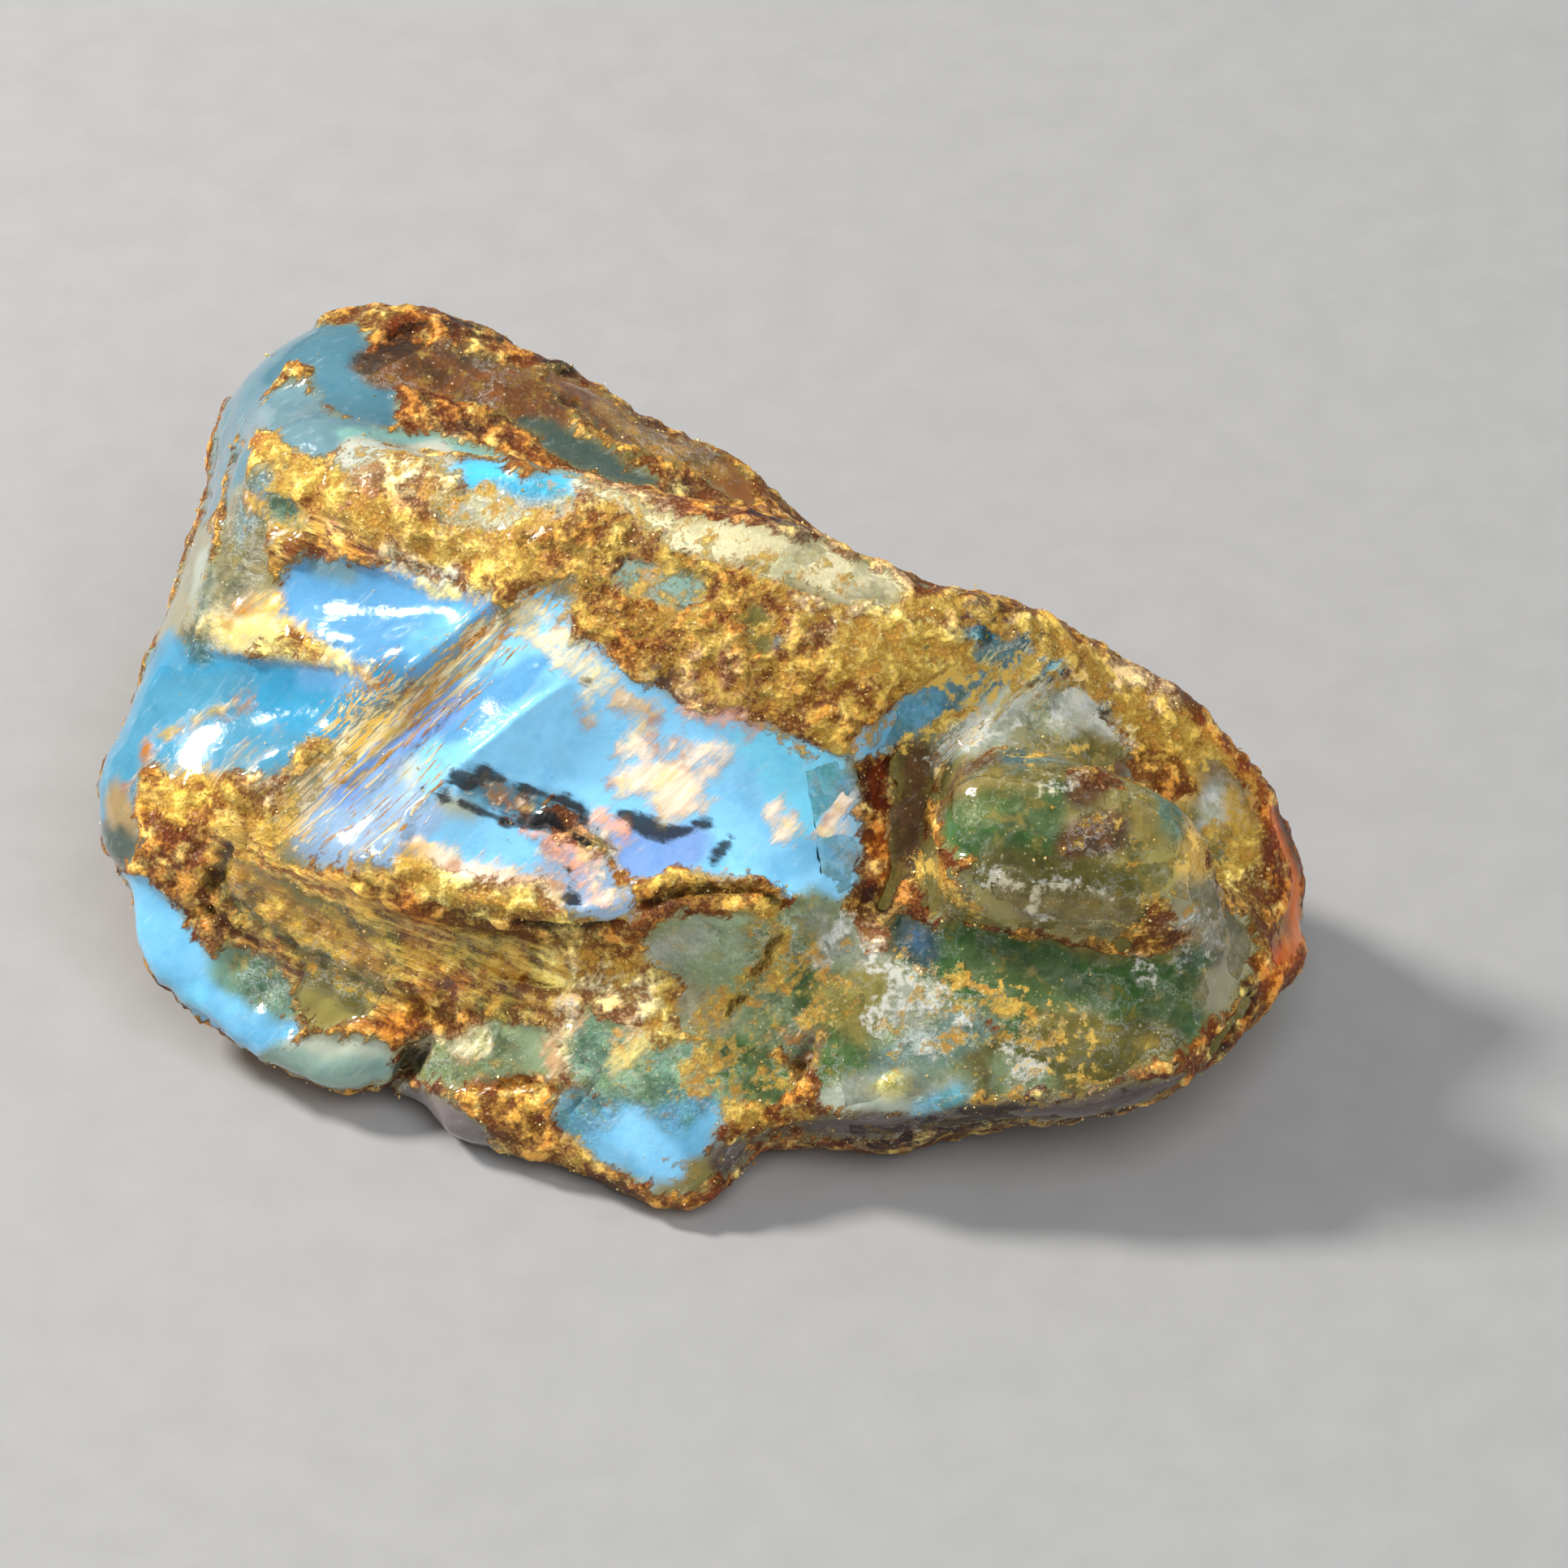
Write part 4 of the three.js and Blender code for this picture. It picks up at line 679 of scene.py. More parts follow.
def merged_copy(name):
    """A new piece with the CAD node's mesh, its doubles merged."""
    piece = bpy.data.objects.new(name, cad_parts[NODE].data.copy())
    piece.data.name = name
    piece.data.materials.clear()
    bpy.context.scene.collection.objects.link(piece)
    only(piece)
    bpy.ops.object.mode_set(mode="EDIT")
    bpy.ops.mesh.select_all(action="SELECT")
    bpy.ops.mesh.remove_doubles(threshold=0.001 * MM)
    bpy.ops.mesh.customdata_custom_splitnormals_clear()
    bpy.ops.object.mode_set(mode="OBJECT")
    return piece


def finish_with(piece, name, kind, **values):
    """Adds one modifier with these values and applies it."""
    modifier = piece.modifiers.new(name, kind)
    for key, value in values.items():
        setattr(modifier, key, value)
    only(piece)
    bpy.ops.object.modifier_apply(modifier=modifier.name)


def new_skin(piece, fineness, rounds):
    """Rounds the facets of a CAD copy and makes it again with small even faces."""
    finish_with(piece, "rounding", "SUBSURF", levels=1, render_levels=1)
    finish_with(piece, "even skin", "REMESH", mode="VOXEL", voxel_size=fineness)
    finish_with(piece, "smoothing", "SMOOTH", factor=0.5, iterations=rounds)


def read_rows(layer, name, count):
    """Three numbers for each of count entries of a mesh layer."""
    flat = np.empty(count * 3, np.float32)
    layer.foreach_get(name, flat)
    return flat.reshape(-1, 3).astype(float)


def places(mesh):
    """The mesh's vertices in millimetres."""
    return read_rows(mesh.vertices, "co", len(mesh.vertices)) / MM


def outwards(mesh):
    """The mesh's vertex normals."""
    return read_rows(mesh.vertex_normals, "vector", len(mesh.vertices))


def put_places(mesh, points):
    """Writes the vertices back from millimetres."""
    mesh.vertices.foreach_set("co", (points * MM).astype(np.float32).ravel())
    mesh.update()


def put_field(mesh, name, values):
    """Keeps one number per vertex for the materials to read."""
    layer = mesh.attributes.new(name, "FLOAT", "POINT")
    layer.data.foreach_set("value", values.astype(np.float32))


def put_tint(mesh, name, colours):
    """Keeps one colour per vertex for the materials to read."""
    layer = mesh.attributes.new(name, "FLOAT_COLOR", "POINT")
    rgba = np.ones((len(colours), 4), np.float32)
    rgba[:, :3] = colours
    layer.data.foreach_set("color", rgba.ravel())


def put_group(piece, name, weights, steps=20):
    """Makes a vertex group with these weights, rounded to steps so that it is quick to fill."""
    group = piece.vertex_groups.new(name=name)
    rounded = np.round(np.clip(weights, 0, 1) * steps).astype(int)
    for step in range(1, steps + 1):
        members = np.nonzero(rounded == step)[0]
        if len(members):
            group.add(members.tolist(), step / steps, "REPLACE")


# ---------------------------------------------------------------- patches


def ease(low, high, values):
    """0 below low, 1 above high, smooth between."""
    share = np.clip((values - low) / (high - low), 0, 1)
    return share * share * (3 - 2 * share)


class Chart:
    """The display side of a skin, on which the patches of the lists are laid."""

    def __init__(self, piece):
        corners = [tuple(face.vertices) for face in piece.data.polygons]
        self.skin = BVHTree.FromPolygons(places(piece.data).tolist(), corners)

    def station(self, x, climb, radius):
        """The place on the skin that x and climb give, with the radius there."""
        above = Vector((x, climb / 2 - ABOVE, climb / 2 + ABOVE))
        place = self.skin.ray_cast(above, -VIEW_SIDE)[0]
        if place is None:
            place = self.skin.find_nearest(Vector((x, (climb - LEAN) / 2, (climb + LEAN) / 2)))[0]
        return (*place, radius)

    def depth_in(self, points, path):
        """How far each point is inside a path of round stations, in mm, and negative outside."""
        deepest = np.full(len(points), FAR)
        stations = np.array([self.station(*given) for given in path])
        if len(stations) == 1:
            stations = np.vstack((stations, stations))
        for first, last in zip(stations[:-1], stations[1:]):
            reach = max(first[3], last[3]) - FAR
            low = np.minimum(first[:3], last[:3]) - reach
            high = np.maximum(first[:3], last[:3]) + reach
            near = np.nonzero(((points > low) & (points < high)).all(1))[0]
            if not len(near):
                continue
            offset = points[near] - first[:3]
            along = last[:3] - first[:3]
            share = np.clip(offset @ along / max(along @ along, 1e-9), 0, 1)
            away = np.linalg.norm(offset - share[:, None] * along, axis=1)
            inside = first[3] + share * (last[3] - first[3]) - away
            deepest[near] = np.maximum(deepest[near], inside)
        return deepest

    def field(self, points, patches):
        """The deepest of all the patches at each point, each no deeper than its cover."""
        field = np.full(len(points), FAR)
        for _, cover, path in patches:
            field = np.maximum(field, np.minimum(self.depth_in(points, path), cover))
        return field

    def paint(self, points, base, patches, fade):
        """Colours laid over one another in the order of the list."""
        colours = base.copy()
        for _, colour, *_, path in patches:
            share = ease(-fade, 0.35 * fade, self.depth_in(points, path))[:, None]
            colours = colours * (1 - share) + np.array(COLOURS[colour]) * share
        return colours


def shift(seed):
    """Where in the noise a pattern with this seed is read."""
    return Vector((seed * 3.7, seed * 1.3, seed * 2.1))


def wobble(points, size, seed):
    """A smooth random vector at each point, the same in every run."""
    noise.seed_set(SEED)
    start = shift(seed)
    return np.array([noise.noise_vector(Vector(point) / size + start) for point in points])


def clouds(points, size, seed, octaves=4):
    """A smooth random number at each point, about -1 to 1."""
    start = shift(seed)
    return np.array([noise.fractal(Vector(point) / size + start, 1.0, 2.0, octaves) for point in points])


# ---------------------------------------------------------------- material helpers


class Wiring:
    """Short words for adding nodes to one tree and joining them."""

    def __init__(self, tree):
        self.tree = tree

    def feed(self, socket, value):
        if isinstance(value, bpy.types.NodeSocket):
            self.tree.links.new(value, socket)
        elif socket.type == "RGBA" and isinstance(value, float):
            socket.default_value = (value, value, value, 1.0)
        else:
            socket.default_value = value

    def feed_all(self, node, inputs):
        for key, value in inputs.items():
            self.feed(node.inputs[key], value)
        return node

    def add(self, kind, inputs=None, **settings):
        made = self.tree.nodes.new(kind)
        for key, value in settings.items():
            setattr(made, key, value)
        return self.feed_all(made, inputs or {})

    def placed(self, group, inputs):
        return self.feed_all(self.add("ShaderNodeGroup", node_tree=group), inputs).outputs

    def math(self, operation, *values):
        made = self.add("ShaderNodeMath", operation=operation)
        for socket, value in zip(made.inputs, values):
            self.feed(socket, value)
        return made.outputs[0]

    def times(self, first, second):
        """The product of two numbers."""
        return self.math("MULTIPLY", first, second)

    def most(self, first, second):
        """The larger of two numbers."""
        return self.math("MAXIMUM", first, second)

    def rest(self, value):
        """What a share leaves of 1."""
        return self.math("SUBTRACT", 1.0, value)

    def mix(self, share, first, second, blend="MIX"):
        made = self.add("ShaderNodeMix", data_type="RGBA", blend_type=blend)
        for index, value in ((0, share), (6, first), (7, second)):
            self.feed(made.inputs[index], value)
        return made.outputs[2]

    def dyed(self, colour, dye):
        """One colour times another."""
        return self.mix(1.0, colour, dye, "MULTIPLY")

    def blend(self, share, first, second):
        """A number between two others."""
        made = self.add("ShaderNodeMix", data_type="FLOAT")
        for index, value in ((0, share), (2, first), (3, second)):
            self.feed(made.inputs[index], value)
        return made.outputs[0]

    def between(self, value, low, high, first=0.0, last=1.0):
        """First below low, last above high, smooth between."""
        inputs = {"Value": value, "From Min": low, "From Max": high, "To Min": first, "To Max": last}
        return self.add("ShaderNodeMapRange", inputs, interpolation_type="SMOOTHSTEP").outputs["Result"]

    def read(self, name, output="Fac"):
        return self.add("ShaderNodeAttribute", attribute_name=name).outputs[output]

    def place(self):
        return self.add("ShaderNodeTexCoord").outputs["Object"]

    def noise(self, place, size, detail=5.0, roughness=0.6):
        inputs = {"Vector": place, "Scale": 1 / (size * MM), "Detail": detail, "Roughness": roughness}
        return self.add("ShaderNodeTexNoise", inputs).outputs["Fac"]

    def cells(self, place, size, output="Distance"):
        """Round cells, one for each grain."""
        inputs = {"Vector": place, "Scale": 1 / (size * MM)}
        return self.add("ShaderNodeTexVoronoi", inputs, feature="F1").outputs[output]

    def bump(self, height):
        inputs = {"Strength": 1.0, "Distance": MM, "Height": height}
        return self.add("ShaderNodeBump", inputs).outputs["Normal"]

    def drawn_out(self, place, way, stretch):
        """The place with a pattern drawn out along one way."""
        turn = tuple(way.to_track_quat("X", "Z").to_euler())
        inputs = {"Vector": place, "Rotation": turn, "Scale": (stretch, 1.0, 1.0)}
        return self.add("ShaderNodeMapping", inputs, vector_type="TEXTURE").outputs["Vector"]

    def streaks(self, place):
        return self.noise(self.drawn_out(place, FLOW, 6.0), 0.42, detail=6.0, roughness=0.66)

    def frays(self, place):
        return self.noise(place, 1.0, detail=8.0, roughness=0.70)

    def drifts(self, place):
        return self.noise(place, 1.3, detail=6.0, roughness=0.62)

    def hairs(self, fray):
        """Thin lines where the fray noise crosses its middle."""
        return self.between(self.math("ABSOLUTE", self.math("SUBTRACT", fray, 0.5)), 0.0, 0.03, 1.0, 0.0)


def opaque(colour, scale=1.0):
    """A colour with its alpha, made lighter or darker."""
    return tuple(part * scale for part in colour) + (1.0,)


def named(colour, scale=1.0):
    """A colour of the palette with its alpha."""
    return opaque(COLOURS[colour], scale)


def new_group(name, inputs, outputs):
    """An empty shader group with these sockets, its wiring, its inputs and its outputs."""
    kinds = {"Vector": "NodeSocketVector", "Tint": "NodeSocketColor", "Colour": "NodeSocketColor"}
    tree = bpy.data.node_groups.new(name, "ShaderNodeTree")
    for way, labels in (("INPUT", inputs), ("OUTPUT", outputs)):
        for label in labels:
            tree.interface.new_socket(label, in_out=way, socket_type=kinds.get(label, "NodeSocketFloat"))
    w = Wiring(tree)
    return tree, w, w.add("NodeGroupInput").outputs, w.add("NodeGroupOutput").inputs


def feathered_edge_group():
    """Turns a patch field in mm into a mask whose edge frays with a noise."""
    tree, w, given, result = new_group("feathered edge", ("Field", "Noise", "Fray", "Softness"), ("Mask",))
    frayed = w.math("MULTIPLY_ADD", w.math("SUBTRACT", given["Noise"], 0.5), given["Fray"], given["Field"])
    share = w.math("ADD", w.math("DIVIDE", frayed, given["Softness"]), 0.5)
    w.feed(result["Mask"], w.between(share, 0.0, 1.0))
    return tree


def moss_group():
    """Granular crust: a height from 0 to 1, and bright specks scattered one by one on its raised parts,
    partly pale grains and partly painted glints.
    """
    tree, w, given, result = new_group("granular crust", ("Vector", "Rise"), ("Height", "Spark"))
    place = given["Vector"]
    grain_size = 0.22
    moss = w.noise(place, 0.45, detail=6.0, roughness=0.66)
    rolling = w.between(w.math("MULTIPLY_ADD", given["Rise"], 0.32, moss), 0.36, 0.66)
    away = w.cells(place, grain_size)
    grain = w.between(away, 0.10, 0.70, 1.0, 0.0)
    lucky = w.between(w.cells(place, grain_size, "Color"), 0.58, 0.66)
    w.feed(result["Height"], w.blend(0.22, rolling, grain))
    raised = w.between(moss, 0.46, 0.58)
    w.feed(result["Spark"], w.times(w.times(lucky, raised), w.between(away, 0.05, 0.40, 1.0, 0.0)))
    return tree


def cloudy_group():
    """Cloudy amber in a given tint: clouds, brown drifts, white hairs, painted shade in the crust's low
    spots, and pale specks with painted glints where it is murky.
    """
    inputs = ("Vector", "Tint", "Murk", "Height", "Spark")
    tree, w, given, result = new_group("cloudy amber", inputs, ("Colour",))
    place = given["Vector"]
    slow = w.noise(place, 3.5, detail=3.0)
    drift = w.drifts(place)
    clump = w.noise(place, 1.6, detail=4.0, roughness=0.6)
    fray = w.frays(place)
    streak = w.streaks(place)
    hair = w.hairs(fray)
    pool = w.dyed(given["Tint"], w.between(slow, 0.3, 0.7, 0.90, 1.10))
    pool = w.mix(w.times(w.between(drift, 0.48, 0.66), 0.5), pool, w.dyed(pool, (0.62, 0.80, 0.92, 1.0)))
    pool = w.mix(w.times(w.between(streak, 0.54, 0.76), 0.22), pool, opaque((0.74, 0.84, 0.86)))
    brown = w.dyed(pool, (1.0, 0.84, 0.30, 1.0))
    dim = w.dyed(pool, (0.36, 0.42, 0.30, 1.0))
    murky = w.mix(w.times(w.between(drift, 0.42, 0.62), 0.6), pool, brown)
    murky = w.mix(w.times(w.between(clump, 0.50, 0.64), 0.7), murky, dim)
    murky = w.mix(w.times(w.between(fray, 0.52, 0.64), 0.6), murky, opaque((0.50, 0.33, 0.06)))
    murky = w.mix(w.times(hair, w.between(slow, 0.42, 0.60, 0.0, 0.45)), murky, opaque((0.80, 0.82, 0.74)))
    # Painted shade: darker where the crust height is low.
    dark = w.dyed(murky, (0.30, 0.30, 0.25, 1.0))
    murky = w.mix(w.between(given["Height"], 0.0, 0.5, 0.5, 0.0), murky, dark)
    murky = w.mix(w.times(given["Spark"], 0.8), murky, named("cream"))
    w.feed(result["Colour"], w.mix(given["Murk"], pool, murky))
    return tree


def new_material(name, inputs):
    """A material with one Principled shader that has these values, its wiring, the shader and the output."""
    material = bpy.data.materials.new(name)
    material.use_nodes = True
    tree = material.node_tree
    tree.nodes.clear()
    w = Wiring(tree)
    shader = w.add("ShaderNodeBsdfPrincipled", inputs)
    output = w.add("ShaderNodeOutputMaterial", {"Surface": shader.outputs["BSDF"]})
    return material, w, shader, output


def stone_skin(finish, edge, moss, cloudy):
    """The opaque skin: cloudy amber with strands and flakes, crust with painted light and shade on its
    grains, gold, frost, hollows with painted shade, black streaks that are partly painted shadow, and a
    painted glow.
    """
    plain = {
        "Specular IOR Level": 0.35,
        "Coat Roughness": 0.05,
        "IOR": AMBER_IOR,
        "Emission Strength": 1.0,
    }
    material, w, shader, _ = new_material("amber skin", plain)
    place = w.place()
    streak = w.streaks(place)
    strand = w.noise(w.drawn_out(place, FLOW, 18.0), 0.15, detail=3.0, roughness=0.6)
    layer = w.noise(w.drawn_out(place, LAYERS, 7.0), 0.40, detail=5.0, roughness=0.6)
    fray = w.frays(place)
    slow = w.noise(place, 3.0, detail=3.0)
    drift = w.drifts(place)
    crumbs = w.placed(moss, {"Vector": place, "Rise": w.read("rise")})
    spark = crumbs["Spark"]
    both = w.blend(0.5, fray, streak)
    murk = w.between(w.read("murk"), -0.6, 0.5)
    wet = w.read("wet")

    def mask(name, grain, fraying, softness):
        inputs = {"Field": w.read(name), "Noise": grain, "Fray": fraying, "Softness": softness}
        return w.placed(edge, inputs)["Mask"]

    window = mask("window", both, 4.0, 0.30)
    flake = mask("flake", both, 3.6, 0.80)
    fibre = mask("fibre", strand, 7.0, 0.90)
    gold = mask("gold", w.blend(0.3, fray, streak), 5.5, 0.60)
    dark = mask("hollow", fray, 1.6, 0.30)
    soot = mask("soot", w.blend(0.6, fray, layer), 1.5, 0.30)
    frost = mask("frost", w.blend(0.45, crumbs["Height"], streak), 1.6, 0.70)
    laid_on = w.most(w.most(flake, gold), w.most(fibre, murk))
    clean = w.times(window, w.rest(laid_on))
    on_window = w.times(flake, window)

    # The crust: painted shade darkens its pits and painted light brightens its heights, over slow rusty and
    # yellow drifts of its own colour.
    tint = w.mix(w.times(w.between(slow, 0.48, 0.60), 0.65), w.read("crust_tint", "Color"), named("rust"))
    tint = w.mix(w.times(w.between(drift, 0.52, 0.66), 0.5), tint, named("lemon"))
    height = w.blend(w.times(wet, 0.8), crumbs["Height"], w.between(layer, 0.38, 0.62))
    low = w.dyed(tint, (0.42, 0.24, 0.14, 1.0))
    middle = w.dyed(tint, (1.35, 1.25, 1.15, 1.0))
    high = w.mix(0.25, w.dyed(tint, (2.4, 2.25, 1.9, 1.0)), opaque(finish.gold))
    crust = w.mix(w.between(height, 0.05, 0.50), low, middle)
    crust = w.mix(w.between(height, 0.50, 0.95), crust, high)
    # Pale specks on the raised grains, partly painted glints.
    crust = w.mix(w.times(spark, 0.6), crust, named("cream"))

    # The windows, and the flakes and strands that lie on them.
    inputs = {
        "Vector": place,
        "Tint": w.read("window_tint", "Color"),
        "Murk": murk,
        "Height": height,
        "Spark": spark,
    }
    pool = w.placed(cloudy, inputs)["Colour"]
    laid = w.mix(w.between(streak, 0.38, 0.60), w.dyed(tint, (0.88, 0.78, 0.70, 1.0)), tint)
    laid = w.mix(w.between(streak, 0.56, 0.68, 0.0, 0.6), laid, opaque((1.0, 0.93, 0.80)))
    thread = w.mix(w.between(streak, 0.42, 0.64), tint, named("cream"))
    colour = w.mix(window, crust, w.mix(fibre, w.mix(flake, pool, laid), thread))

    # Gold, frost, hollows darkened with painted shade, and black streaks that are partly painted shadow, over
    # all of it.
    # The gold grains too get painted shade in their low parts and painted light on their heights.
    bright = w.mix(w.between(height, 0.0, 0.45), opaque((0.57, 0.28, 0.04)), named("gold", 1.2))
    bright = w.mix(w.between(height, 0.40, 0.85), bright, opaque(finish.gold))
    # Pale specks on the raised gold, partly painted glints.
    bright = w.mix(w.times(spark, 0.8), bright, named("cream", 1.1))
    colour = w.mix(w.times(gold, 0.92), colour, bright)
    veil = w.times(frost, w.between(w.hairs(fray), 0.0, 1.0, 0.40, 1.0))
    colour = w.mix(veil, colour, opaque((0.74, 0.74, 0.68)))
    # Painted shade: hollows, cracks and pits are darkened toward a dim umber.
    colour = w.mix(w.times(dark, 0.88), colour, named("umber", 0.30))
    # Black streaks, partly dark inclusions and partly painted shadow in the fold under the lens.
    colour = w.mix(soot, colour, opaque((0.014, 0.013, 0.014)))

    rough = w.rest(w.times(window, w.rest(w.times(gold, 0.8))))
    dry = w.times(rough, w.rest(w.times(wet, 0.8)))
    dry = w.most(dry, w.times(frost, 0.9))

    relief = w.times(w.times(height, 0.20), w.most(rough, w.times(murk, 0.5)))
    for mark, rise in ((on_window, 0.03), (fibre, 0.03), (drift, 0.03), (dark, -0.18)):
        relief = w.math("MULTIPLY_ADD", mark, rise, relief)

    # A painted glow: clean windows give off their own colour as light, and flakes on them 2.4 times theirs.
    lit = w.mix(on_window, w.dyed(pool, clean), w.dyed(laid, 2.4))
    # Painted glow: thin edges give off dark red light.
    ember = w.times(w.between(w.read("glow"), -0.5, 0.5), w.between(fray, 0.35, 0.65, 0.25, 1.0))
    glow = w.dyed(opaque((0.20, 0.030, 0.002)), ember)
    inputs = {
        "Base Color": colour,
        "Roughness": w.between(dry, 0.0, 1.0, 0.12, 0.50),
        "Coat Weight": w.between(dry, 0.0, 1.0, 1.0, 0.10),
        "Normal": w.bump(relief),
        # Painted glow of the windows and of the thin edges.
        "Emission Color": w.mix(1.0, w.dyed(lit, finish.shine), glow, "ADD"),
    }
    w.feed_all(shader, inputs)
    return material


def clear_amber(finish):
    """Amber that light passes through. Lamps shine through it onto what it holds, and its thin edges carry a
    painted red glow.
    """
    plain = {
        "Base Color": (1.0, 0.98, 0.92, 1.0),
        "Transmission Weight": 1.0,
        "IOR": AMBER_IOR,
        "Emission Strength": 1.0,
    }
    material, w, shader, output = new_material("clear amber", plain)
    fine = w.noise(w.place(), 0.9, detail=4.0, roughness=0.55)
    inputs = {
        "Roughness": w.between(fine, 0.35, 0.7, 0.03, 0.14),
        "Normal": w.bump(w.times(fine, 0.08)),
        # Painted glow: thin edges of the clear amber give off red light.
        "Emission Color": w.dyed(opaque((0.42, 0.08, 0.003)), w.between(w.read("glow"), -0.6, 0.6)),
    }
    w.feed_all(shader, inputs)
    veil = w.add("ShaderNodeBsdfTransparent", {"Color": (0.88, 0.80, 0.62, 1.0)})
    lamps = w.add("ShaderNodeLightPath").outputs["Is Shadow Ray"]
    either = w.add("ShaderNodeMixShader", {0: lamps, 1: shader.outputs["BSDF"], 2: veil.outputs["BSDF"]})
    depth = w.add("ShaderNodeVolumeAbsorption", {"Color": opaque(finish.amber), "Density": finish.density})
    w.feed_all(output, {"Surface": either.outputs["Shader"], "Volume": depth.outputs["Volume"]})
    return material


def cloud_finish(moss, cloudy):
    """Cloudy amber with white veils and gold, as it lies under the clear amber, with a faint painted glow of
    its own colour.
    """
    material, w, shader, _ = new_material("cloudy heart", {"Roughness": 0.6, "Emission Strength": 0.10})
    place = w.place()
    fine = w.noise(place, 0.5, detail=5.0, roughness=0.65)
    crumbs = w.placed(moss, {"Vector": place, "Rise": 0.0})
    inputs = {
        "Vector": place,
        "Tint": w.read("window_tint", "Color"),
        "Murk": 0.7,
        "Height": crumbs["Height"],
        "Spark": crumbs["Spark"],
    }
    colour = w.placed(cloudy, inputs)["Colour"]
    for name, fraying, low, high, tint in (
        ("frost", 2.6, -0.1, 0.4, (0.9, 0.88, 0.75)),
        ("gold", 3.0, 0.1, 0.5, (0.95, 0.62, 0.12)),
    ):
        frayed = w.math("MULTIPLY_ADD", w.math("SUBTRACT", fine, 0.5), fraying, w.read(name))
        colour = w.mix(w.between(frayed, low, high), colour, opaque(tint))
    colour = w.dyed(colour, 0.65)
    # A painted glow: the heart gives off its own colour as light, so that it shows under the clear amber.
    w.feed_all(shader, {"Base Color": colour, "Emission Color": colour})
    return material


def dust_gold():
    """The finish of the loose golden grains."""
    material, w, shader, _ = new_material("gold dust", {"Metallic": 0.35})
    each = w.noise(w.place(), 0.3, detail=2.0)
    dull = opaque((0.62, 0.33, 0.05))
    bright = opaque((0.98, 0.78, 0.34))
    colour = w.mix(w.between(each, 0.35, 0.65), dull, bright)
    w.feed_all(shader, {"Base Color": colour, "Roughness": w.between(each, 0.3, 0.7, 0.25, 0.5)})
    return material


# ---------------------------------------------------------------- the stone


def far_side(points, normals):
    """1 on the back and underside, which the patch lists leave out, and 0 where they hold."""
    return 1 - ease(-0.55, -0.15, normals @ np.array(VIEW_SIDE))


def toward(base, colour, share):
    """The base colours moved some way toward one colour of the palette."""
    return base + share[:, None] * (np.array(COLOURS[colour]) - base)


def stone_fields(chart, points, normals):
    """Every patch field and tint of the stone, worked out at these points."""
    windows = [(name, WHOLE, path) for name, _, path in WINDOWS]
    plates = [(name, cover, path) for name, _, cover, path in FLAKES]
    loose = points + 0.45 * wobble(points, 1.8, 1) + 0.22 * wobble(points, 0.6, 2)
    fields = {
        "window": chart.field(loose, windows) + REACH,
        "flake": chart.field(loose, plates),
        "gold": chart.field(loose, GOLD),
        "hollow": chart.field(points + 0.12 * wobble(points, 0.8, 3), HOLLOWS),
        "soot": chart.field(loose, SOOT_AND_SHADOW),
        "frost": chart.field(loose, FROST),
        "glow": chart.field(points, GLOW),
        "clear": chart.field(loose, CLEAR),
        "wet": ease(-0.5, 0.8, chart.field(points, WET)),
        "bead": ease(-0.8, 0.4, chart.field(points, BEADS)),
        "fibre": chart.field(loose, FIBRES),
        "murk": chart.field(loose, MURK),
        "rise": clouds(points, 0.95, 21, 4),
    }
    pools = clouds(points, 11.0, 4, 3)
    mottle = clouds(points, 3.0, 5, 4)
    broad = clouds(points, 8.0, 15, 3)
    tone = clouds(points, 5.0, 14, 3)

    # The far side has no patches, so there the clouds say where windows, gold and pits lie.
    hidden = far_side(points, normals)
    seen = 1 - hidden
    guess = np.clip(2.6 * pools - 0.25, FAR, 1.0)
    fields["window"] = fields["window"] * seen + guess * hidden
    pits = np.where(hidden > 0.5, -0.9 - 1.4 * mottle, FAR)
    for name, values in (
        ("murk", hidden * (0.1 + 1.6 * tone) - 0.42 * seen),
        ("wet", 0.9 * hidden * ease(-0.3, 0.3, broad)),
        ("gold", hidden * (1.2 * mottle - 0.1) + seen * FAR),
        ("hollow", pits),
    ):
        fields[name] = np.maximum(fields[name], values)

    crust = np.tile(np.array(COLOURS["honey"]), (len(points), 1))
    crust = toward(crust, "olive", np.clip(mottle, 0, 1))
    crust = toward(crust, "umber", np.clip(-mottle, 0, 1))
    crust = toward(crust, "rust", 0.6 * ease(0.0, 0.5, broad))
    crust = toward(crust, "umber", 0.7 * ease(0.05, 0.5, -broad))
    pool = np.tile(np.array(COLOURS["olive"]), (len(points), 1))
    pool = toward(pool, "sky", hidden)
    pool = toward(pool, "deep", 0.8 * hidden * ease(0.15, 0.45, pools))
    pool = toward(pool, "jade", 0.8 * hidden * ease(0.0, 0.3, tone))
    pool = toward(pool, "olive", 0.8 * hidden * ease(0.0, 0.3, -tone))
    crust_tint = chart.paint(loose, crust, CRUST_TINTS, CRUST_FADE)
    window_tint = chart.paint(loose, pool, WINDOWS + WINDOW_TINTS, TINT_FADE)
    flakes = chart.paint(loose, crust_tint, FLAKES, FLAKE_FADE)
    within = ease(-0.6, 0.2, fields["window"])[:, None]
    crust_tint = crust_tint * (1 - within) + flakes * within
    return fields, {"crust_tint": crust_tint, "window_tint": window_tint}


def drawn(points, way, stretch):
    """The points pressed together along one way, so that a pattern read there is drawn out along it."""
    along = np.array(way.normalized())
    return points - np.outer(points @ along, along) * (1 - 1 / stretch)


def grounded(points):
    """0 on the resting face, 1 a little above it, so that relief leaves the face flat."""
    return ease(0.15, 1.2, points[:, 2])


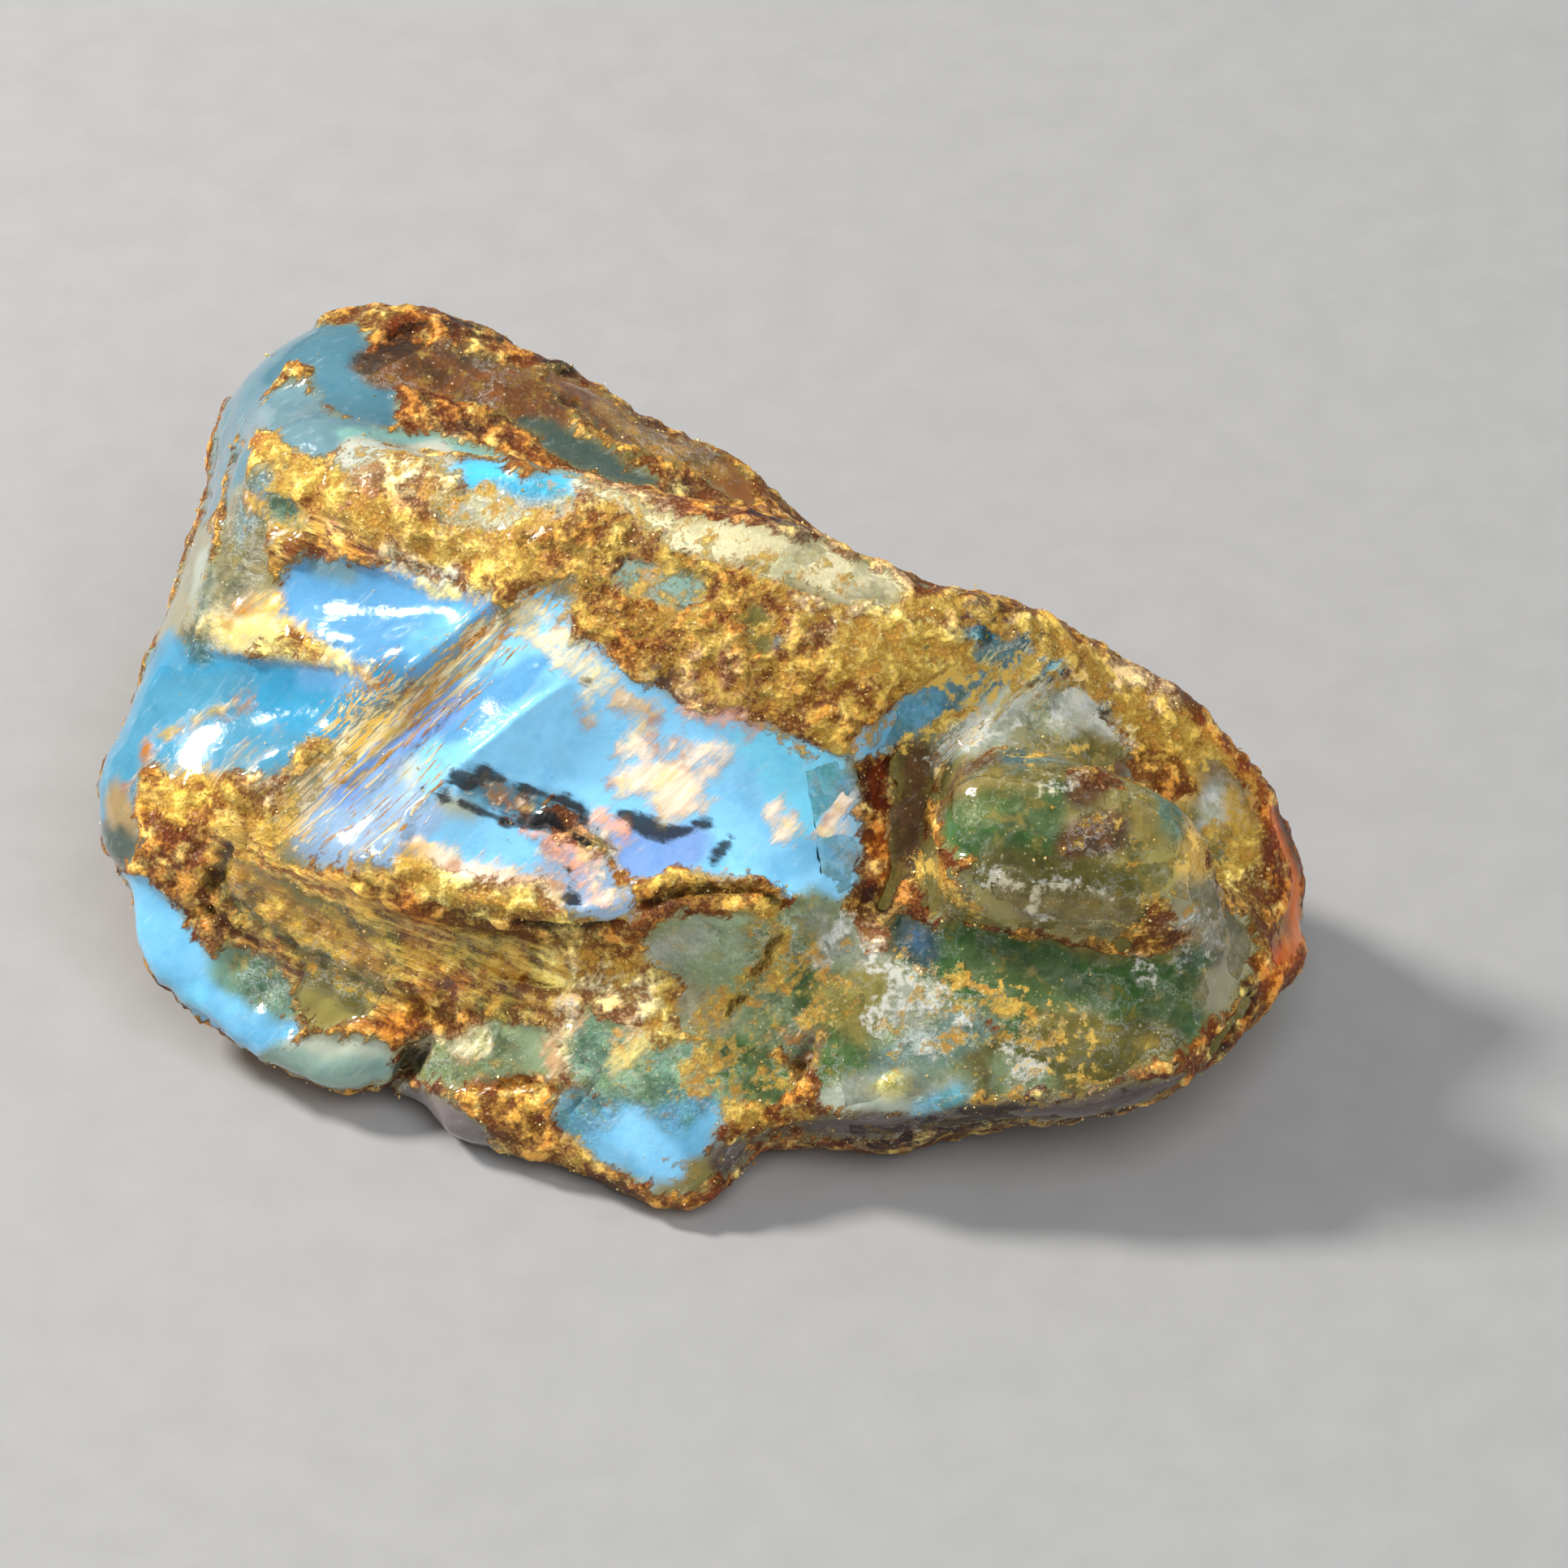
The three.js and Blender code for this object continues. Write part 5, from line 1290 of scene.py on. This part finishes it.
def raise_relief(piece, form, fields, chart):
    """Steps, hollows, beads and grains, as far as the mesh can hold them."""
    mesh = piece.data
    points = places(mesh)
    normals = outwards(mesh)
    crust = 1 - ease(-0.25, 0.25, fields["window"])
    hollow = ease(-0.35, 0.35, fields["hollow"])
    clear = ease(-0.3, 0.3, fields["clear"])
    strands = ease(-0.8, 0.4, fields["fibre"])
    bedded = np.maximum(ease(-1.0, 1.0, chart.field(points, STRATA)), 0.8 * far_side(points, normals))
    height = form.crust_rise / MM * (crust - 0.5) * (1 - clear)
    height = height - form.hollow_depth / MM * hollow
    height = height + 0.06 * ease(-0.1, 0.2, fields["flake"]) * (1 - crust)
    for _, rise, path in CREASES:
        widest = max(radius for _, _, radius in path)
        height = height + rise * ease(0, 1, chart.depth_in(points, path) / widest)
    height = height + 0.30 * bedded * clouds(drawn(points, LAYERS, 6.0), 0.9, 11, 3)
    height = height + form.crust_grain / MM * 0.4 * crust * (1 - clear) * fields["rise"]
    height = height + 0.10 * strands * clouds(drawn(points, FLOW, 8.0), 0.6, 12, 2)
    raised = grounded(points)
    put_places(mesh, points + normals * (height * raised)[:, None])

    put_group(piece, "crust", crust * (1 - 0.75 * clear) * (1 - 0.7 * fields["bead"]) * raised)
    put_group(piece, "beads", fields["bead"] * raised)
    put_group(piece, "smooth", (1 - crust) * raised)
    # Each row holds the vertex group, the noise, its size in mm and depth, the height and the still level.
    for group, basis, size, depth, strength, middle in (
        ("crust", "IMPROVED_PERLIN", 1.5, 5, form.crust_grain * 1.6, 0.5),
        ("crust", "BLENDER_ORIGINAL", 3.4, 2, form.crust_grain * 1.2, 0.5),
        ("beads", "VORONOI_F1", 1.1, 0, -form.bead_height, 0.4),
        ("smooth", "BLENDER_ORIGINAL", 3.0, 1, 0.22 * MM, 0.5),
    ):
        texture = bpy.data.textures.new(f"{group} {basis}", "CLOUDS")
        texture.noise_basis = basis
        texture.noise_scale = size * MM
        texture.noise_depth = depth
        finish_with(
            piece, f"{group} relief", "DISPLACE", texture=texture, texture_coords="LOCAL",
            vertex_group=group, strength=strength, mid_level=middle,
        )
    piece.vertex_groups.clear()
    points = places(mesh)
    points[:, 2] = np.maximum(points[:, 2], 0)
    put_places(mesh, points)


class NUGGET_OT_body(bpy.types.Operator):
    """Make the stone: its fine surface, its patches and its relief"""

    bl_idname = "nugget.body"
    bl_label = "Stone"
    bl_options = {"REGISTER", "UNDO"}

    def execute(self, context):
        form = context.scene.nugget_form
        finish = context.scene.nugget_finish
        piece = merged_copy("nugget_body")
        mesh = piece.data
        chart = Chart(piece)
        new_skin(piece, form.fineness, rounds=7)
        if not len(mesh.polygons):
            raise RuntimeError("the stone has no surface")
        fields, tints = stone_fields(chart, places(mesh), outwards(mesh))
        raise_relief(piece, form, fields, chart)
        for name, values in fields.items():
            put_field(mesh, name, values)
        for name, colours in tints.items():
            put_tint(mesh, name, colours)
        skin = stone_skin(finish, feathered_edge_group(), moss_group(), cloudy_group())
        mesh.materials.append(skin)
        mesh.materials.append(clear_amber(finish))
        see_through = [fields["clear"][list(face.vertices)].mean() > 0 for face in mesh.polygons]
        mesh.polygons.foreach_set("material_index", np.array(see_through).astype(np.int32))
        only(piece)
        bpy.ops.object.shade_smooth()
        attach(piece, BODY)
        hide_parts(NODE)
        return {"FINISHED"}


# ---------------------------------------------------------------- what the clear amber holds


class NUGGET_OT_inclusions(bpy.types.Operator):
    """Make the cloudy heart that lies inside the clear knob"""

    bl_idname = "nugget.inclusions"
    bl_label = "Inclusions"
    bl_options = {"REGISTER", "UNDO"}

    depth: length("Depth", "Clear amber over the cloud", 0.4)

    def execute(self, context):
        groups = bpy.data.node_groups
        piece = merged_copy("inner_cloud")
        mesh = piece.data
        chart = Chart(piece)
        new_skin(piece, HEART_FINENESS, rounds=6)
        points = places(mesh)
        normals = outwards(mesh)
        fields, tints = stone_fields(chart, points, normals)
        for name in ("gold", "frost", "hollow", "murk"):
            put_field(mesh, name, fields[name])
        put_tint(mesh, "window_tint", tints["window_tint"])
        sink = self.depth / MM * ease(0.1, 1.6, fields["clear"]) * (1 + 0.35 * clouds(points, 2.5, 8))
        sink = HEART_COVER + sink
        put_places(mesh, points - normals * sink[:, None])
        only(piece)
        bpy.ops.object.mode_set(mode="EDIT")
        for place, way in HEART_CUTS:
            bpy.ops.mesh.select_all(action="SELECT")
            bpy.ops.mesh.bisect(plane_co=place, plane_no=way, use_fill=True, clear_inner=True)
        bpy.ops.mesh.select_all(action="DESELECT")
        bpy.ops.object.mode_set(mode="OBJECT")
        mesh.materials.append(cloud_finish(groups["granular crust"], groups["cloudy amber"]))
        bpy.ops.object.shade_smooth()
        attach(piece, BODY)
        return {"FINISHED"}


# ---------------------------------------------------------------- dust


class NUGGET_OT_dust(bpy.types.Operator):
    """Scatter golden grains over the crust"""

    bl_idname = "nugget.dust"
    bl_label = "Gold dust"
    bl_options = {"REGISTER", "UNDO"}

    def execute(self, context):
        form = context.scene.nugget_dust
        stone = bpy.data.objects.get("nugget_body")
        if stone is None:
            raise RuntimeError("make the stone before its dust")
        shape, faces = self.grain()
        points = places(stone.data)
        normals = outwards(stone.data)
        chosen, sizes = self.spots(stone.data, points, form)
        random = np.random.default_rng(SEED)
        turns = random_turns(random, len(chosen))
        stretch = random.uniform(0.55, 1.25, (len(chosen), 3))
        stretch[:, 2] *= 0.6
        bodies = np.einsum("nij,nkj->nki", turns, shape[None] * stretch[:, None] * sizes[:, None, None])
        at = points[chosen] + normals[chosen] * (0.12 * sizes)[:, None]
        at = at + random.normal(0, 0.07, at.shape)
        every = (bodies + at[:, None]).reshape(-1, 3)
        every[:, 2] = np.maximum(every[:, 2], 0.02)
        joined = (faces[None] + (np.arange(len(chosen)) * len(shape))[:, None, None]).reshape(-1, 3)
        dust = bpy.data.meshes.new("gold_dust")
        dust.from_pydata((every * MM).tolist(), [], joined.tolist())
        dust.update()
        piece = bpy.data.objects.new("gold_dust", dust)
        bpy.context.scene.collection.objects.link(piece)
        dust.materials.append(dust_gold())
        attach(piece, BODY)
        return {"FINISHED"}

    def grain(self):
        """The corners and faces of one squat crystal, pointed at both ends."""
        bpy.ops.object.select_all(action="DESELECT")
        bpy.ops.mesh.primitive_cone_add(vertices=4, radius1=0.5, depth=0.5, end_fill_type="TRIFAN")
        crystal = bpy.context.view_layer.objects.active
        shape = np.array([vertex.co for vertex in crystal.data.vertices])
        under = np.hypot(shape[:, 0], shape[:, 1]) + shape[:, 2] < 0
        shape[under, 2] = -0.75
        shape[:, 2] += 0.25
        faces = np.array([face.vertices for face in crystal.data.polygons])
        bpy.data.objects.remove(crystal)
        return shape, faces

    def spots(self, mesh, points, form):
        """Which vertices hold a grain, and how wide each grain is in mm."""
        window, gold = np.empty((2, len(points)), np.float32)
        mesh.attributes["window"].data.foreach_get("value", window)
        mesh.attributes["gold"].data.foreach_get("value", gold)
        rim = ease(-0.7, -0.1, window) * (1 - ease(0.0, 0.6, window))
        chance = 0.10 + 1.6 * ease(-0.8, 0.1, gold) + 0.5 * rim
        chance *= 1 - 0.85 * ease(0.1, 0.7, window)
        chance *= grounded(points)
        chance *= 0.4 + 1.2 * ease(-0.1, 0.5, clouds(points, 1.0, 9))
        random = np.random.default_rng(SEED + 1)
        count = min(form.count, len(points) // 3)
        chosen = random.choice(len(points), count, replace=False, p=chance / chance.sum())
        sizes = form.size / MM * np.exp(random.normal(-0.25, 0.45, count))
        return chosen, np.clip(sizes, 0.04, 0.26)


def random_turns(random, count):
    """Random rotations as matrices."""
    q = random.normal(size=(count, 4))
    q /= np.linalg.norm(q, axis=1, keepdims=True)
    w, x, y, z = q.T
    rows = (
        (1 - 2 * (y * y + z * z), 2 * (x * y - z * w), 2 * (x * z + y * w)),
        (2 * (x * y + z * w), 1 - 2 * (x * x + z * z), 2 * (y * z - x * w)),
        (2 * (x * z - y * w), 2 * (y * z + x * w), 1 - 2 * (x * x + y * y)),
    )
    return np.stack([np.stack(row, -1) for row in rows], 1)


# ---------------------------------------------------------------- stage


class NUGGET_OT_stage(bpy.types.Operator):
    """Set the floor, the lamps and the camera"""

    bl_idname = "nugget.stage"
    bl_label = "Stage"
    bl_options = {"REGISTER", "UNDO"}

    def execute(self, context):
        form = context.scene.nugget_stage
        low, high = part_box(NODE)
        middle = (low + high) / 2
        self.camera(form, middle + AIM * MM)
        self.lamps(form, middle)
        self.room(form)
        self.floor(form)
        return {"FINISHED"}

    def camera(self, form, target):
        back = Vector((0, -math.cos(form.elevation), math.sin(form.elevation)))
        data = bpy.data.cameras.new("camera")
        data.sensor_width = 36.0
        data.lens = LENS
        data.clip_start = 0.01
        camera = bpy.data.objects.new("camera", data)
        bpy.context.scene.collection.objects.link(camera)
        camera.location = target + back * form.distance
        camera.rotation_euler = (-back).to_track_quat("-Z", "Y").to_euler()
        bpy.context.scene.camera = camera

    def lamps(self, form, middle):
        for name, way, away, size, power, colour in (
            ("key lamp", (-1.04, 0.40, 1.0), 0.45, 0.085, form.key, (1.0, 0.98, 0.95)),
            ("fill lamp", (0.25, -0.55, 1.0), 0.60, 0.50, form.fill, (0.96, 0.98, 1.0)),
        ):
            data = bpy.data.lights.new(name, "AREA")
            data.shape = "DISK"
            data.size = size
            data.energy = power
            data.color = colour
            lamp = bpy.data.objects.new(name, data)
            lamp.visible_glossy = name == "key lamp"
            bpy.context.scene.collection.objects.link(lamp)
            direction = Vector(way).normalized()
            lamp.location = middle + direction * away
            lamp.rotation_euler = direction.to_track_quat("Z", "Y").to_euler()

    def room(self, form):
        world = bpy.data.worlds.new("room")
        world.use_nodes = True
        world.node_tree.nodes.clear()
        w = Wiring(world.node_tree)
        light = w.add("ShaderNodeBackground", {"Color": (0.93, 0.96, 1.0, 1.0), "Strength": form.sky})
        w.add("ShaderNodeOutputWorld", {"Surface": light.outputs["Background"]})
        bpy.context.scene.world = world
        bpy.context.scene.view_settings.view_transform = "Standard"

    def floor(self, form):
        bpy.ops.object.select_all(action="DESELECT")
        bpy.ops.mesh.primitive_plane_add(size=4.0, location=(0, 0, 0))
        floor = bpy.context.view_layer.objects.active
        floor.name = "floor"
        material, w, shader, _ = new_material("floor", {"Roughness": 0.8})
        fine = w.noise(w.place(), 3.0, detail=6.0)
        colour = w.mix(w.between(fine, 0.3, 0.7), opaque(form.floor, 0.97), opaque(form.floor, 1.03))
        w.feed(shader.inputs["Base Color"], colour)
        floor.data.materials.append(material)


# ---------------------------------------------------------------- the add-on


SETTINGS = {
    "nugget_form": NuggetForm,
    "nugget_finish": NuggetFinish,
    "nugget_dust": DustForm,
    "nugget_stage": StageForm,
}
STEPS = (NUGGET_OT_body, NUGGET_OT_inclusions, NUGGET_OT_dust, NUGGET_OT_stage)


class NUGGET_PT_panel(bpy.types.Panel):
    """The stone's builders and their settings"""

    bl_idname = "NUGGET_PT_panel"
    bl_label = "Blue amber nugget"
    bl_space_type = "VIEW_3D"
    bl_region_type = "UI"
    bl_category = "Amber"

    def draw(self, context):
        column = self.layout.column()
        for step in STEPS:
            column.operator(step.bl_idname)
        for name, kind in SETTINGS.items():
            box = column.box()
            for key in kind.__annotations__:
                box.prop(getattr(context.scene, name), key)


def register():
    for kind in (*SETTINGS.values(), *STEPS, NUGGET_PT_panel):
        bpy.utils.register_class(kind)
    for name, kind in SETTINGS.items():
        setattr(bpy.types.Scene, name, PointerProperty(type=kind))


def unregister():
    for name in SETTINGS:
        delattr(bpy.types.Scene, name)
    for kind in (NUGGET_PT_panel, *reversed(STEPS), *reversed(SETTINGS.values())):
        bpy.utils.unregister_class(kind)


def main():
    register()
    bpy.ops.nugget.body()
    bpy.ops.nugget.inclusions()
    bpy.ops.nugget.dust()
    bpy.ops.nugget.stage()


if __name__ == "__main__":
    main()
